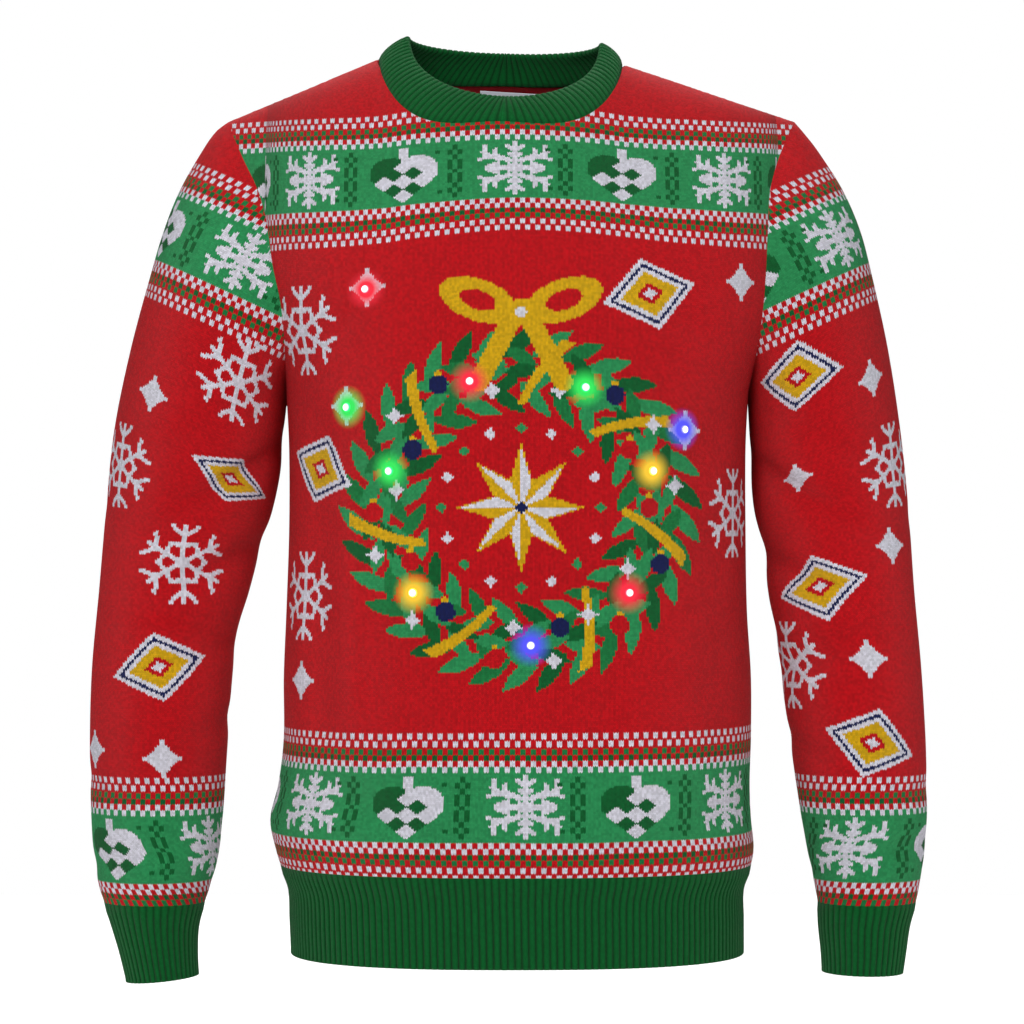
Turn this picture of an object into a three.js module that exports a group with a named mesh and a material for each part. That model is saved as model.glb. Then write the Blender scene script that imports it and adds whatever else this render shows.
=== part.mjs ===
// A knitted Christmas jumper with small lights on its front, filled out as a wearer fills it.
// Millimetres. +X is the right of the picture, -Y the front, +Z up. The origin is the middle of
// the neck opening, at the height of the shoulder seams' neck ends.
import * as THREE from "three";

// Cloth
const WALL = 2.4;
const SEAM_GAP = 0.3;
const RIB_RISE = 1.1;
const RIB_TURN_IN = 6;
const KNIT_ROUGHNESS = 0.9;

// Neck and shoulders
const NECK_CENTRE = -7;
const NECK_HALF = 91;
const NECK_POINT = { left: 2, right: -2 };
const SHOULDER_POINT = { left: { x: 211, z: -45 }, right: { x: 213, z: -45 } };
const NECK_REACH = { front: 88, back: 62 };
const NECK_POWER = 2.6;
const NECK_ARCH_RISE = { front: 45, back: 16 };
const BAND_TOP = { centre: -4, half: 74, height: 14.5, tilt: -0.034, front: 70, back: 54 };
const BAND_TOP_DROP = { front: 51, back: 1 };
const BAND_TOP_CURVE = 0.75;
const BAND_TOP_SOFTNESS = 0.2;
// Rows of the neckband: how far up each lies, and how far the band bulges there.
const BAND_ROWS = [
  { height: 0, bulge: 0 },
  { height: 0.3, bulge: 1 },
  { height: 0.7, bulge: 1.8 },
  { height: 1, bulge: 0 },
];

// Body
const UNDERARM = -250;
const HEM_TOP = -599;
const HEM_BOTTOM = -662;
const SECTION_POWER = 2.5;
const ARCH_START = { front: -330, back: -262 };
const ARCH_POWER = { front: 2, back: 2.4 };
const ARMHOLE_ROUNDING = 24;
const ARMHOLE_ROUNDING_RISE = 90;

// Half widths of the body below the arms, and of the panels between the armholes above them.
const BODY_OUTLINE = [
  { z: -662, left: 163, right: 174 },
  { z: -640, left: 164, right: 174 },
  { z: -618, left: 165, right: 174 },
  { z: -604, left: 170, right: 179 },
  { z: -588, left: 175, right: 182 },
  { z: -566, left: 179, right: 180 },
  { z: -540, left: 173, right: 179 },
  { z: -505, left: 169, right: 180 },
  { z: -460, left: 169, right: 180 },
  { z: -410, left: 167, right: 177 },
  { z: -350, left: 165, right: 176 },
  { z: -290, left: 165, right: 176 },
  { z: -250, left: 167, right: 178 },
];
const ARMHOLE_OUTLINE = [
  { z: -250, left: 167, right: 178 },
  { z: -212, left: 166, right: 183 },
  { z: -184, left: 168, right: 186 },
  { z: -156, left: 174, right: 188 },
  { z: -124, left: 179, right: 190 },
  { z: -100, left: 186, right: 192 },
  { z: -73, left: 199, right: 200 },
  { z: -45, left: 211, right: 213 },
];
const BODY_DEPTH = [
  { z: -662, front: 128, back: 112 },
  { z: -618, front: 130, back: 114 },
  { z: -595, front: 137, back: 120 },
  { z: -566, front: 142, back: 121 },
  { z: -500, front: 139, back: 114 },
  { z: -400, front: 137, back: 108 },
  { z: -250, front: 138, back: 116 },
  { z: -150, front: 133, back: 120 },
  { z: -50, front: 125, back: 118 },
  { z: 10, front: 124, back: 118 },
];

// Largest folds of the body: a soft line from one end to the other, its width, and its rise
// (a trough where negative).
const BODY_FOLDS = {
  front: [
    { x: -141, z: -300, toX: -137, toZ: -486, width: 13, rise: -8 },
    { x: -119, z: -330, toX: -117, toZ: -470, width: 12, rise: 3.5 },
    { x: -152, z: -262, toX: -96, toZ: -322, width: 13, rise: -4.5 },
    { x: 163, z: -266, toX: 112, toZ: -338, width: 14, rise: -5 },
    { x: 148, z: -372, toX: 156, toZ: -548, width: 15, rise: -5 },
    { x: -158, z: -520, toX: -96, toZ: -556, width: 12, rise: -4.5 },
    { x: 160, z: -556, toX: 92, toZ: -578, width: 11, rise: -4 },
  ],
  back: [
    { x: -150, z: -268, toX: -82, toZ: -330, width: 15, rise: -5 },
    { x: 158, z: -272, toX: 96, toZ: -322, width: 14, rise: -5.5 },
    { x: -104, z: -392, toX: 66, toZ: -424, width: 19, rise: -6 },
    { x: -40, z: -450, toX: 112, toZ: -484, width: 17, rise: -4.5 },
    { x: -146, z: -466, toX: -134, toZ: -560, width: 14, rise: -5 },
    { x: 142, z: -420, toX: 150, toZ: -572, width: 14, rise: -6 },
  ],
};
const FOLD_END = 26;

// Sleeves: how far the outer and the inner edge lie from the middle of the body.
const SLEEVE_OUTER = [
  { z: -45, left: 211, right: 213 },
  { z: -52, left: 220, right: 219 },
  { z: -66, left: 230, right: 230 },
  { z: -96, left: 247, right: 249 },
  { z: -126, left: 259, right: 262 },
  { z: -156, left: 268, right: 270 },
  { z: -216, left: 284, right: 283 },
  { z: -276, left: 296, right: 292 },
  { z: -336, left: 302, right: 298 },
  { z: -396, left: 307, right: 302 },
  { z: -456, left: 312, right: 307 },
  { z: -516, left: 313, right: 310 },
  { z: -576, left: 311, right: 310 },
  { z: -606, left: 308, right: 306 },
  { z: -627, left: 302, right: 302 },
  { z: -645, left: 296, right: 297 },
  { z: -665, left: 290, right: 294 },
  { z: -685, left: 285, right: 291 },
];
const SLEEVE_INNER = [
  { z: -250, left: 167, right: 178 },
  { z: -276, left: 169.5, right: 179.5 },
  { z: -306, left: 172, right: 180.5 },
  { z: -336, left: 178, right: 183 },
  { z: -366, left: 187, right: 190 },
  { z: -396, left: 195, right: 193 },
  { z: -426, left: 203, right: 198 },
  { z: -456, left: 207, right: 202 },
  { z: -516, left: 211, right: 210 },
  { z: -576, left: 215, right: 219 },
  { z: -606, left: 220, right: 225 },
  { z: -627, left: 227, right: 229 },
  { z: -645, left: 232, right: 230 },
  { z: -665, left: 233, right: 232 },
  { z: -685, left: 232, right: 233 },
];
// Each ring of a sleeve joins a place on its outer edge to one on its inner edge. round is the
// ring's depth against its width, forward how far the arm lies to the front.
const SLEEVE_RINGS = [
  { outer: -45, inner: -250, round: 0.66, forward: 0 },
  { outer: -54, inner: -254, round: 0.67, forward: 0 },
  { outer: -72, inner: -260, round: 0.7, forward: 0 },
  { outer: -102, inner: -269, round: 0.76, forward: 0 },
  { outer: -142, inner: -282, round: 0.84, forward: 0 },
  { outer: -188, inner: -298, round: 0.92, forward: 1 },
  { outer: -238, inner: -319, round: 0.98, forward: 2 },
  { outer: -288, inner: -344, round: 1.02, forward: 4 },
  { outer: -338, inner: -373, round: 1.04, forward: 6 },
  { outer: -388, inner: -406, round: 1.04, forward: 8 },
  { outer: -434, inner: -443, round: 1.03, forward: 11 },
  { outer: -482, inner: -486, round: 1.02, forward: 14 },
  { outer: -530, inner: -531, round: 1.02, forward: 17 },
  { outer: -570, inner: -570, round: 1.02, forward: 19 },
  { outer: -598, inner: -598, round: 1.02, forward: 20 },
  { outer: -615, inner: -615, round: 1.02, forward: 21 },
  { outer: -627, inner: -627, round: 1.02, forward: 21 },
];
const SLEEVE_HEAD_RINGS = 5;
const CUFF_RINGS = [
  { outer: -627, inner: -627, round: 1.02, forward: 21 },
  { outer: -640, inner: -640, round: 1.04, forward: 21 },
  { outer: -685, inner: -685, round: 1.06, forward: 22 },
];
// Largest folds of the sleeves: a trough across the sleeve at a height, round the direction it
// faces (0 outwards, 90 to the front, 180 to the body), with its slant across the sleeve.
const SLEEVE_FOLDS = {
  left: [
    { z: -378, facing: 128, slant: 22, width: 11, rise: -4 },
    { z: -424, facing: 120, slant: -14, width: 10, rise: -4 },
    { z: -404, facing: 250, slant: 16, width: 12, rise: -5 },
    { z: -592, facing: 60, slant: 8, width: 9, rise: -3.5 },
    { z: -314, facing: 130, slant: 34, width: 13, rise: -4 },
  ],
  right: [
    { z: -386, facing: 126, slant: 20, width: 11, rise: -4 },
    { z: -440, facing: 118, slant: -16, width: 11, rise: -4 },
    { z: -410, facing: 245, slant: 18, width: 12, rise: -5 },
    { z: -588, facing: 70, slant: -9, width: 9, rise: -3.5 },
    { z: -322, facing: 128, slant: 30, width: 13, rise: -4 },
  ],
};

// Lights on the front: the lens of each, and its place.
const LENS_RADIUS = 3.2;
const LENS_HEIGHT = 2.6;
const LENS_SIDES = 8;
const LENS_SEAT = 0.9;
const LENS_ROUGHNESS = 0.2;
// Rings of a lens below its tip, as shares of its radius and height.
const LENS_PROFILE = [
  { radius: 1, height: 0 },
  { radius: 0.94, height: 0.45 },
  { radius: 0.62, height: 0.85 },
];
const WREATH = { x: 8, z: -335, radius: 98 };
const STAR_LIGHTS = [
  { colour: "red", x: -104, z: -177 },
  { colour: "green", x: -117, z: -262 },
  { colour: "blue", x: 125, z: -278 },
];
const WREATH_LIGHTS = [
  { colour: "green", turn: 28 },
  { colour: "yellow", turn: 74 },
  { colour: "red", turn: 128 },
  { colour: "blue", turn: 176 },
  { colour: "yellow", turn: 232 },
  { colour: "green", turn: 286 },
  { colour: "red", turn: 338 },
];

// Label inside the back of the neck
const LABEL = { x: 0, width: 46, top: -14, bottom: -48, wall: 1, gap: 1.8, roughness: 0.6 };
const LABEL_COLUMNS = 4;
const LABEL_ROWS = 3;

// How finely the solids follow the cloth
const SHOULDER_COLUMNS = 6;
const NECK_COLUMNS = 12;
const YOKE_ROWS = 10;
const BODY_ROWS = 11;
const COLUMNS_PER_SEGMENT = 4;
const SECTION_SAMPLES = 240;
const HALVINGS = 40;
const SLOPE_STEP = 2;
const TANGENT_SHARE = 0.1;
const FINEST = 1e-6;

const PANEL_COLUMNS = 2 * SHOULDER_COLUMNS + NECK_COLUMNS;
const RING_SEGMENTS = 2 * YOKE_ROWS;

const KNIT = { red: 0xc0202c, green: 0x0b5a2c, label: 0xd9d9d6 };
const LIGHT = { red: 0xff3040, green: 0x30e070, blue: 0x4050ff, yellow: 0xffe060 };

const lerp = (a, b, share) => a + (b - a) * share;
const clamp01 = (value) => Math.min(Math.max(value, 0), 1);
const ease = (share) => share * share * (3 - 2 * share);
const sideOf = (x) => (x < 0 ? "left" : "right");
const signOf = (side) => (side === "left" ? -1 : 1);

// A smooth curve through one column of a table, whatever way its heights run.
function along(table, column, z) {
  const rows = table[0].z < table[table.length - 1].z ? table : [...table].reverse();
  const last = rows.length - 1;
  const height = Math.min(Math.max(z, rows[0].z), rows[last].z);
  let at = 0;
  while (at < last - 1 && rows[at + 1].z < height) at += 1;
  const slope = (i) => {
    const before = rows[Math.max(i - 1, 0)];
    const after = rows[Math.min(i + 1, last)];
    return (after[column] - before[column]) / (after.z - before.z);
  };
  const step = rows[at + 1].z - rows[at].z;
  const t = (height - rows[at].z) / step;
  const rise = rows[at + 1][column] - rows[at][column];
  const early = slope(at) * step - rise;
  const late = rise - slope(at + 1) * step;
  return lerp(rows[at][column], rows[at + 1][column], t) + t * (1 - t) * lerp(early, late, t);
}

// The half width at which the body's section would close: the outline below the arms, and
// somewhat past the armhole above them.
function closingHalfWidth(z, side) {
  if (z <= UNDERARM) return along(BODY_OUTLINE, side, z);
  const past = ARMHOLE_ROUNDING * ease(clamp01((z - UNDERARM) / ARMHOLE_ROUNDING_RISE));
  return along(ARMHOLE_OUTLINE, side, z) + past;
}

function edgeHalfWidth(z, side) {
  return along(z <= UNDERARM ? BODY_OUTLINE : ARMHOLE_OUTLINE, side, z);
}

// Height of the line where front and back meet over the shoulder. Inside the neck opening it is
// the height to which the front or the back would arch.
function shoulderHeight(x, face) {
  const side = sideOf(x - NECK_CENTRE);
  const neckEnd = Math.abs(NECK_CENTRE + signOf(side) * NECK_HALF);
  const point = SHOULDER_POINT[side];
  const out = clamp01((Math.abs(x) - neckEnd) / (point.x - neckEnd));
  if (out > 0) return lerp(NECK_POINT[side], point.z, out);
  const across = clamp01(Math.abs(x - NECK_CENTRE) / NECK_HALF);
  const level = lerp(0, NECK_POINT[side], across);
  return level + NECK_ARCH_RISE[face] * (1 - across * across);
}

function foldRise(folds, x, z) {
  let total = 0;
  for (const fold of folds) {
    const run = { x: fold.toX - fold.x, z: fold.toZ - fold.z };
    const length = Math.hypot(run.x, run.z);
    const share = ((x - fold.x) * run.x + (z - fold.z) * run.z) / (length * length);
    const past = Math.max(-share, share - 1, 0) * length;
    const off = ((x - fold.x) * run.z - (z - fold.z) * run.x) / length;
    total += fold.rise * Math.exp(-((off / fold.width) ** 2) - (past / FOLD_END) ** 2);
  }
  return total;
}

// How far the cloth stands from the plane through the side seams.
function clothDepth(x, z, face) {
  const across = clamp01(Math.abs(x) / closingHalfWidth(z, sideOf(x)));
  const roundness = (1 - across ** SECTION_POWER) ** (1 / SECTION_POWER);
  const start = ARCH_START[face];
  const climb = clamp01((z - start) / (shoulderHeight(x, face) - start));
  const power = ARCH_POWER[face];
  const arch = (1 - climb ** power) ** (1 / power);
  const folds = foldRise(BODY_FOLDS[face], x, z);
  return (along(BODY_DEPTH, face, z) + folds) * roundness * arch;
}

function clothPoint(x, z, face) {
  const facing = face === "front" ? -1 : 1;
  return new THREE.Vector3(x, facing * (clothDepth(x, z, face) + SEAM_GAP / 2), z);
}

// Height of the neckline's seam, for a place across the neck. From above, the seam is a rounded
// loop, and it lies where the arching cloth stands as far out as that loop.
function necklineHeight(x, face) {
  const across = clamp01(Math.abs(x - NECK_CENTRE) / NECK_HALF);
  const reach = NECK_REACH[face] * (1 - across ** NECK_POWER) ** (1 / NECK_POWER);
  let low = UNDERARM;
  let high = shoulderHeight(x, face);
  for (let i = 0; i < HALVINGS; i += 1) {
    const middle = (low + high) / 2;
    if (clothDepth(x, middle, face) > reach) low = middle;
    else high = middle;
  }
  return (low + high) / 2;
}

// Place across the neck for a turn round it, 0 at the right neck point.
function neckPlace(turn) {
  const swing = Math.cos(turn);
  return NECK_CENTRE + Math.sign(swing) * NECK_HALF * Math.abs(swing) ** (2 / NECK_POWER);
}

// Places across a body section that part its front or back into equal lengths of cloth.
function evenPlaces(z, face) {
  const left = -edgeHalfWidth(z, "left");
  const right = edgeHalfWidth(z, "right");
  const samples = [];
  for (let i = 0; i <= SECTION_SAMPLES; i += 1) {
    const turn = -Math.cos((Math.PI * i) / SECTION_SAMPLES);
    const x = turn < 0 ? -turn * left : turn * right;
    samples.push({ x, y: clothDepth(x, z, face), run: 0 });
  }
  for (let i = 1; i <= SECTION_SAMPLES; i += 1) {
    const step = Math.hypot(samples[i].x - samples[i - 1].x, samples[i].y - samples[i - 1].y);
    samples[i].run = samples[i - 1].run + step;
  }
  const whole = samples[SECTION_SAMPLES].run;
  const places = [];
  let at = 0;
  for (let column = 0; column <= PANEL_COLUMNS; column += 1) {
    const run = (whole * column) / PANEL_COLUMNS;
    while (at < SECTION_SAMPLES - 1 && samples[at + 1].run < run) at += 1;
    const share = (run - samples[at].run) / (samples[at + 1].run - samples[at].run);
    places.push(lerp(samples[at].x, samples[at + 1].x, share));
  }
  return places;
}

// Places across the top of a panel: the left shoulder seam, the neckline, the right seam.
function topPlaces() {
  const places = [];
  const neckLeft = NECK_CENTRE - NECK_HALF;
  const neckRight = NECK_CENTRE + NECK_HALF;
  for (let i = 0; i < SHOULDER_COLUMNS; i += 1) {
    places.push(lerp(-SHOULDER_POINT.left.x, neckLeft, i / SHOULDER_COLUMNS));
  }
  for (let i = 0; i <= NECK_COLUMNS; i += 1) {
    places.push(neckPlace(Math.PI * (1 - i / NECK_COLUMNS)));
  }
  for (let i = 1; i <= SHOULDER_COLUMNS; i += 1) {
    places.push(lerp(neckRight, SHOULDER_POINT.right.x, i / SHOULDER_COLUMNS));
  }
  return places;
}

const yokeShare = (row) => (1 - Math.cos((Math.PI * row) / YOKE_ROWS)) / 2;

function armholePoint(row, side, face) {
  const z = lerp(UNDERARM, SHOULDER_POINT[side].z, yokeShare(row));
  const x = signOf(side) * edgeHalfWidth(z, side);
  const ends = row === 0 || row === YOKE_ROWS;
  const point = clothPoint(x, z, face);
  if (ends) point.y = (face === "front" ? -1 : 1) * (SEAM_GAP / 2);
  return point;
}

// Towards the middle of an armhole, the side on which both its walls have their inside.
function armholeInward(row) {
  const turn = (Math.PI * row) / YOKE_ROWS;
  return { y: Math.sin(turn), z: Math.cos(turn) };
}

function panelOuter(face) {
  const rows = [];
  for (let row = 0; row < BODY_ROWS; row += 1) {
    const z = lerp(HEM_TOP, UNDERARM, row / BODY_ROWS);
    rows.push(evenPlaces(z, face).map((x) => clothPoint(x, z, face)));
  }
  const low = evenPlaces(UNDERARM, face);
  const high = topPlaces();
  for (let row = 0; row <= YOKE_ROWS; row += 1) {
    const share = yokeShare(row);
    const line = [];
    for (let column = 0; column <= PANEL_COLUMNS; column += 1) {
      const side = sideOf(low[column]);
      if (column === 0 || column === PANEL_COLUMNS) {
        line.push(armholePoint(row, side, face));
        continue;
      }
      const edge = edgeHalfWidth(lerp(UNDERARM, SHOULDER_POINT[side].z, share), side);
      const lowShare = low[column] / edgeHalfWidth(UNDERARM, side);
      const highShare = high[column] / SHOULDER_POINT[side].x;
      const x = edge * lerp(lowShare, highShare, ease(share));
      const onNeck = Math.abs(high[column] - NECK_CENTRE) < NECK_HALF - FINEST;
      const top = (onNeck ? necklineHeight : shoulderHeight)(high[column], face);
      const z = lerp(UNDERARM, top, share);
      line.push(clothPoint(row === YOKE_ROWS ? high[column] : x, z, face));
    }
    rows.push(line);
  }
  return rows;
}

// The neckline seam as a closed loop, from the right neck point round the front to the back.
function necklineLoop() {
  const loop = [];
  for (let i = 0; i < 2 * NECK_COLUMNS; i += 1) {
    const turn = (Math.PI * i) / NECK_COLUMNS;
    const face = i <= NECK_COLUMNS ? "front" : "back";
    const x = neckPlace(turn);
    const point = clothPoint(x, necklineHeight(x, face), face);
    if (i % NECK_COLUMNS === 0) point.y = 0;
    loop.push(point);
  }
  return loop;
}

function bandTopPoint(turn) {
  const face = Math.sin(turn) >= 0 ? "front" : "back";
  const swing = Math.abs(Math.sin(turn));
  const soft = (Math.hypot(swing, BAND_TOP_SOFTNESS) - BAND_TOP_SOFTNESS)
    / (Math.hypot(1, BAND_TOP_SOFTNESS) - BAND_TOP_SOFTNESS);
  const x = BAND_TOP.centre + BAND_TOP.half * Math.cos(turn);
  const y = (face === "front" ? -BAND_TOP.front : BAND_TOP.back) * swing;
  const level = BAND_TOP.height + BAND_TOP.tilt * x;
  return new THREE.Vector3(x, y, level - BAND_TOP_DROP[face] * soft ** BAND_TOP_CURVE);
}

// Towards the inside of the garment, square to the neckband's slope.
function neckInward(turn, seam) {
  const slope = bandTopPoint(turn).sub(seam).normalize();
  const round = new THREE.Vector3(-Math.sin(turn), -Math.cos(turn), 0);
  return new THREE.Vector3().crossVectors(round, slope).normalize();
}

// Directions square to the cloth at each point of a grid, whose lines may be closed loops.
function clothNormals(rows, closed) {
  const last = rows[0].length - 1;
  const beside = (line, column) => {
    if (closed) return line[(column + line.length) % line.length];
    return line[Math.min(Math.max(column, 0), last)];
  };
  return rows.map((line, row) =>
    line.map((_, column) => {
      const across = beside(line, column + 1).clone().sub(beside(line, column - 1));
      const under = rows[Math.max(row - 1, 0)][column];
      const over = rows[Math.min(row + 1, rows.length - 1)][column];
      return across.cross(over.clone().sub(under)).normalize();
    }),
  );
}

// A closed wall between an outer and an inner grid of points with as many columns each.
function wallGeometry(outer, inner, closed) {
  const columns = outer[0].length;
  const spans = closed ? columns : columns - 1;
  const points = [...outer.flat(), ...inner.flat()];
  const innerStart = outer.length * columns;
  const triangles = [];
  const quad = (a, b, c, d) => triangles.push(a, b, c, a, c, d);
  const out = (row, column) => row * columns + (column % columns);
  const into = (row, column) => innerStart + out(row, column);
  const outTop = outer.length - 1;
  const intoTop = inner.length - 1;
  for (let column = 0; column < spans; column += 1) {
    const next = column + 1;
    for (let row = 0; row < outTop; row += 1) {
      quad(out(row, column), out(row, next), out(row + 1, next), out(row + 1, column));
    }
    for (let row = 0; row < intoTop; row += 1) {
      quad(into(row, column), into(row + 1, column), into(row + 1, next), into(row, next));
    }
    quad(out(0, next), out(0, column), into(0, column), into(0, next));
    quad(out(outTop, column), out(outTop, next), into(intoTop, next), into(intoTop, column));
  }
  if (!closed) {
    for (let row = 0; row < outTop; row += 1) {
      quad(out(row, 0), out(row + 1, 0), into(row + 1, 0), into(row, 0));
      quad(out(row + 1, spans), out(row, spans), into(row, spans), into(row + 1, spans));
    }
  }
  return facingOut(points, triangles);
}

function facingOut(points, triangles) {
  let volume = 0;
  for (let i = 0; i < triangles.length; i += 3) {
    const [a, b, c] = [points[triangles[i]], points[triangles[i + 1]], points[triangles[i + 2]]];
    volume += a.dot(new THREE.Vector3().crossVectors(b, c));
  }
  if (volume < 0) triangles.reverse();
  const geometry = new THREE.BufferGeometry();
  const places = points.flatMap((point) => [point.x, point.y, point.z]);
  geometry.setAttribute("position", new THREE.Float32BufferAttribute(places, 3));
  geometry.setIndex(triangles);
  geometry.computeVertexNormals();
  return geometry;
}

const moved = (point, direction, distance) => point.clone().addScaledVector(direction, distance);

// Towards the wearer at each point of a panel: square to the cloth, save at its seams, where the
// next piece's wall has the same direction.
function panelInward(face, outer) {
  const top = outer.length - 1;
  const facing = face === "front" ? -1 : 1;
  const inward = clothNormals(outer, false);
  inward.flat().filter((normal) => normal.y * facing > 0).forEach((normal) => normal.negate());
  for (let row = 0; row <= top; row += 1) {
    for (const column of [0, PANEL_COLUMNS]) {
      const towardsMiddle = column === 0 ? 1 : -1;
      if (row < BODY_ROWS) {
        inward[row][column].set(towardsMiddle, 0, 0);
      } else {
        const middle = armholeInward(row - BODY_ROWS);
        inward[row][column].set(0, -facing * middle.y, middle.z);
      }
    }
  }
  for (let column = 1; column < PANEL_COLUMNS; column += 1) {
    const seam = outer[top][column];
    const alongNeck = (column - SHOULDER_COLUMNS) / NECK_COLUMNS;
    const turn = Math.PI * (1 + facing * alongNeck);
    if (alongNeck >= 0 && alongNeck <= 1) inward[top][column].copy(neckInward(turn, seam));
    else inward[top][column].set(0, 0, -1);
  }
  return inward;
}

function panel(face) {
  const outer = panelOuter(face);
  const inward = panelInward(face, outer);
  const inner = outer.map((line, row) =>
    line.map((point, column) => moved(point, inward[row][column], WALL)),
  );
  return { outer, inner, geometry: wallGeometry(outer, inner, false) };
}

// A point of a sleeve's or cuff's ring, before the armhole bends the first ones.
function ringPoint(ring, turn, side) {
  const sign = signOf(side);
  const far = new THREE.Vector3(sign * along(SLEEVE_OUTER, side, ring.outer), 0, ring.outer);
  const near = new THREE.Vector3(sign * along(SLEEVE_INNER, side, ring.inner), 0, ring.inner);
  const half = far.distanceTo(near) / 2;
  const out = far.clone().sub(near).normalize();
  const middle = far.clone().add(near).multiplyScalar(0.5);
  const facing = (turn * 180) / Math.PI;
  const height = lerp(ring.outer, ring.inner, (1 - Math.cos(turn)) / 2);
  let rise = 0;
  for (const fold of SLEEVE_FOLDS[side]) {
    const away = ((((facing - fold.facing) % 360) + 540) % 360) - 180;
    const swing = (away * Math.PI) / 180;
    const off = height - fold.z - fold.slant * Math.sin(swing);
    const window = Math.max(Math.cos(swing), 0) ** 2;
    rise += fold.rise * window * Math.exp(-((off / fold.width) ** 2));
  }
  const width = half + rise;
  const depth = half * ring.round + rise;
  const point = moved(middle, out, width * Math.cos(turn));
  point.y = -depth * Math.sin(turn) - ring.forward;
  return point;
}

function armholeLoop(side) {
  const loop = [];
  for (let i = 0; i < RING_SEGMENTS; i += 1) {
    const face = i <= YOKE_ROWS ? "front" : "back";
    const row = i <= YOKE_ROWS ? YOKE_ROWS - i : i - YOKE_ROWS;
    const point = armholePoint(row, side, face);
    if (row === 0 || row === YOKE_ROWS) point.y = 0;
    const middle = armholeInward(row);
    const inward = new THREE.Vector3(0, face === "front" ? middle.y : -middle.y, middle.z);
    loop.push({ point, inward });
  }
  return loop;
}

function sleeve(side) {
  const sign = signOf(side);
  const seam = armholeLoop(side);
  const turns = seam.map((_, i) => (2 * Math.PI * i) / RING_SEGMENTS);
  const outer = SLEEVE_RINGS.map((ring, row) => {
    const fade = (1 - Math.min(row / SLEEVE_HEAD_RINGS, 1)) ** 2;
    return turns.map((turn, i) => {
      const first = ringPoint(SLEEVE_RINGS[0], turn, side);
      const shift = seam[i].point.clone().sub(first).multiplyScalar(fade);
      const point = ringPoint(ring, turn, side).add(shift);
      point.x += sign * SEAM_GAP * fade;
      return point;
    });
  });
  const inward = clothNormals(outer, true);
  const inner = outer.map((line, row) => {
    const middle = new THREE.Vector3();
    line.forEach((point) => middle.addScaledVector(point, 1 / line.length));
    return line.map((point, i) => {
      const normal = inward[row][i];
      if (normal.dot(middle.clone().sub(point)) < 0) normal.negate();
      if (row === 0) normal.copy(seam[i].inward);
      if (row === SLEEVE_RINGS.length - 1) normal.setZ(0).normalize();
      return moved(point, normal, WALL);
    });
  });
  return { outer, inner, geometry: wallGeometry(outer, inner, true) };
}

// A ribbed band: its first row follows the edge that it is knitted to, segment by segment, and
// ribs stand up from its other rows. rowPoint(row, share) is a plain point of a later row.
function ribbedBand(edgeOuter, edgeInner, laterRows, rowPoint, inwardAt) {
  const segments = edgeOuter.length;
  const columns = segments * COLUMNS_PER_SEGMENT;
  const onEdge = (edge, column) => {
    const segment = Math.floor(column / COLUMNS_PER_SEGMENT);
    const share = (column % COLUMNS_PER_SEGMENT) / COLUMNS_PER_SEGMENT;
    return edge[segment].clone().lerp(edge[(segment + 1) % segments], share);
  };
  const outer = [[]];
  const inner = [[]];
  for (let column = 0; column < columns; column += 1) {
    outer[0].push(onEdge(edgeOuter, column));
    inner[0].push(onEdge(edgeInner, column));
  }
  for (let row = 1; row <= laterRows; row += 1) {
    outer.push([]);
    inner.push([]);
    for (let column = 0; column < columns; column += 1) {
      const plain = rowPoint(row, column / COLUMNS_PER_SEGMENT);
      const inward = inwardAt(row, column / COLUMNS_PER_SEGMENT, plain);
      outer[row].push(moved(plain, inward, column % 2 === 0 ? -RIB_RISE : 0));
      inner[row].push(moved(plain, inward, WALL));
    }
  }
  return wallGeometry(outer, inner, true);
}

// A loop of points as a smooth curve that a share counted in segments runs along.
function loopAt(loop, share) {
  const whole = Math.floor(share);
  const t = share - whole;
  const at = (i) => loop[(i + loop.length) % loop.length];
  const [a, b, c, d] = [at(whole - 1), at(whole), at(whole + 1), at(whole + 2)];
  const mix = (key) =>
    b[key] + 0.5 * t * (c[key] - a[key] + t * (2 * a[key] - 5 * b[key] + 4 * c[key] - d[key]
      + t * (3 * (b[key] - c[key]) + d[key] - a[key])));
  return new THREE.Vector3(mix("x"), mix("y"), mix("z"));
}

function hemGeometry(front, back) {
  const down = -SEAM_GAP;
  const loopOf = (key) => {
    const left = front[key][0].slice(0, PANEL_COLUMNS);
    const right = back[key][0].slice(1).reverse();
    return [...left, ...right].map((p) => new THREE.Vector3(p.x, p.y, HEM_TOP + down));
  };
  const section = (z, face) => evenPlaces(z, face).map((x) => clothPoint(x, z, face));
  const rows = [HEM_TOP, HEM_TOP - RIB_TURN_IN, HEM_BOTTOM].map((z) => [
    ...section(z, "front").slice(0, PANEL_COLUMNS),
    ...section(z, "back").slice(1).reverse(),
  ]);
  const inwardAt = (row, share) => {
    const ahead = loopAt(rows[row], share + TANGENT_SHARE);
    const behind = loopAt(rows[row], share - TANGENT_SHARE + rows[row].length);
    return new THREE.Vector3(behind.y - ahead.y, ahead.x - behind.x, 0).normalize();
  };
  const outerEdge = loopOf("outer");
  const innerEdge = loopOf("inner");
  return ribbedBand(outerEdge, innerEdge, 2, (row, share) => loopAt(rows[row], share), inwardAt);
}

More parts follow.
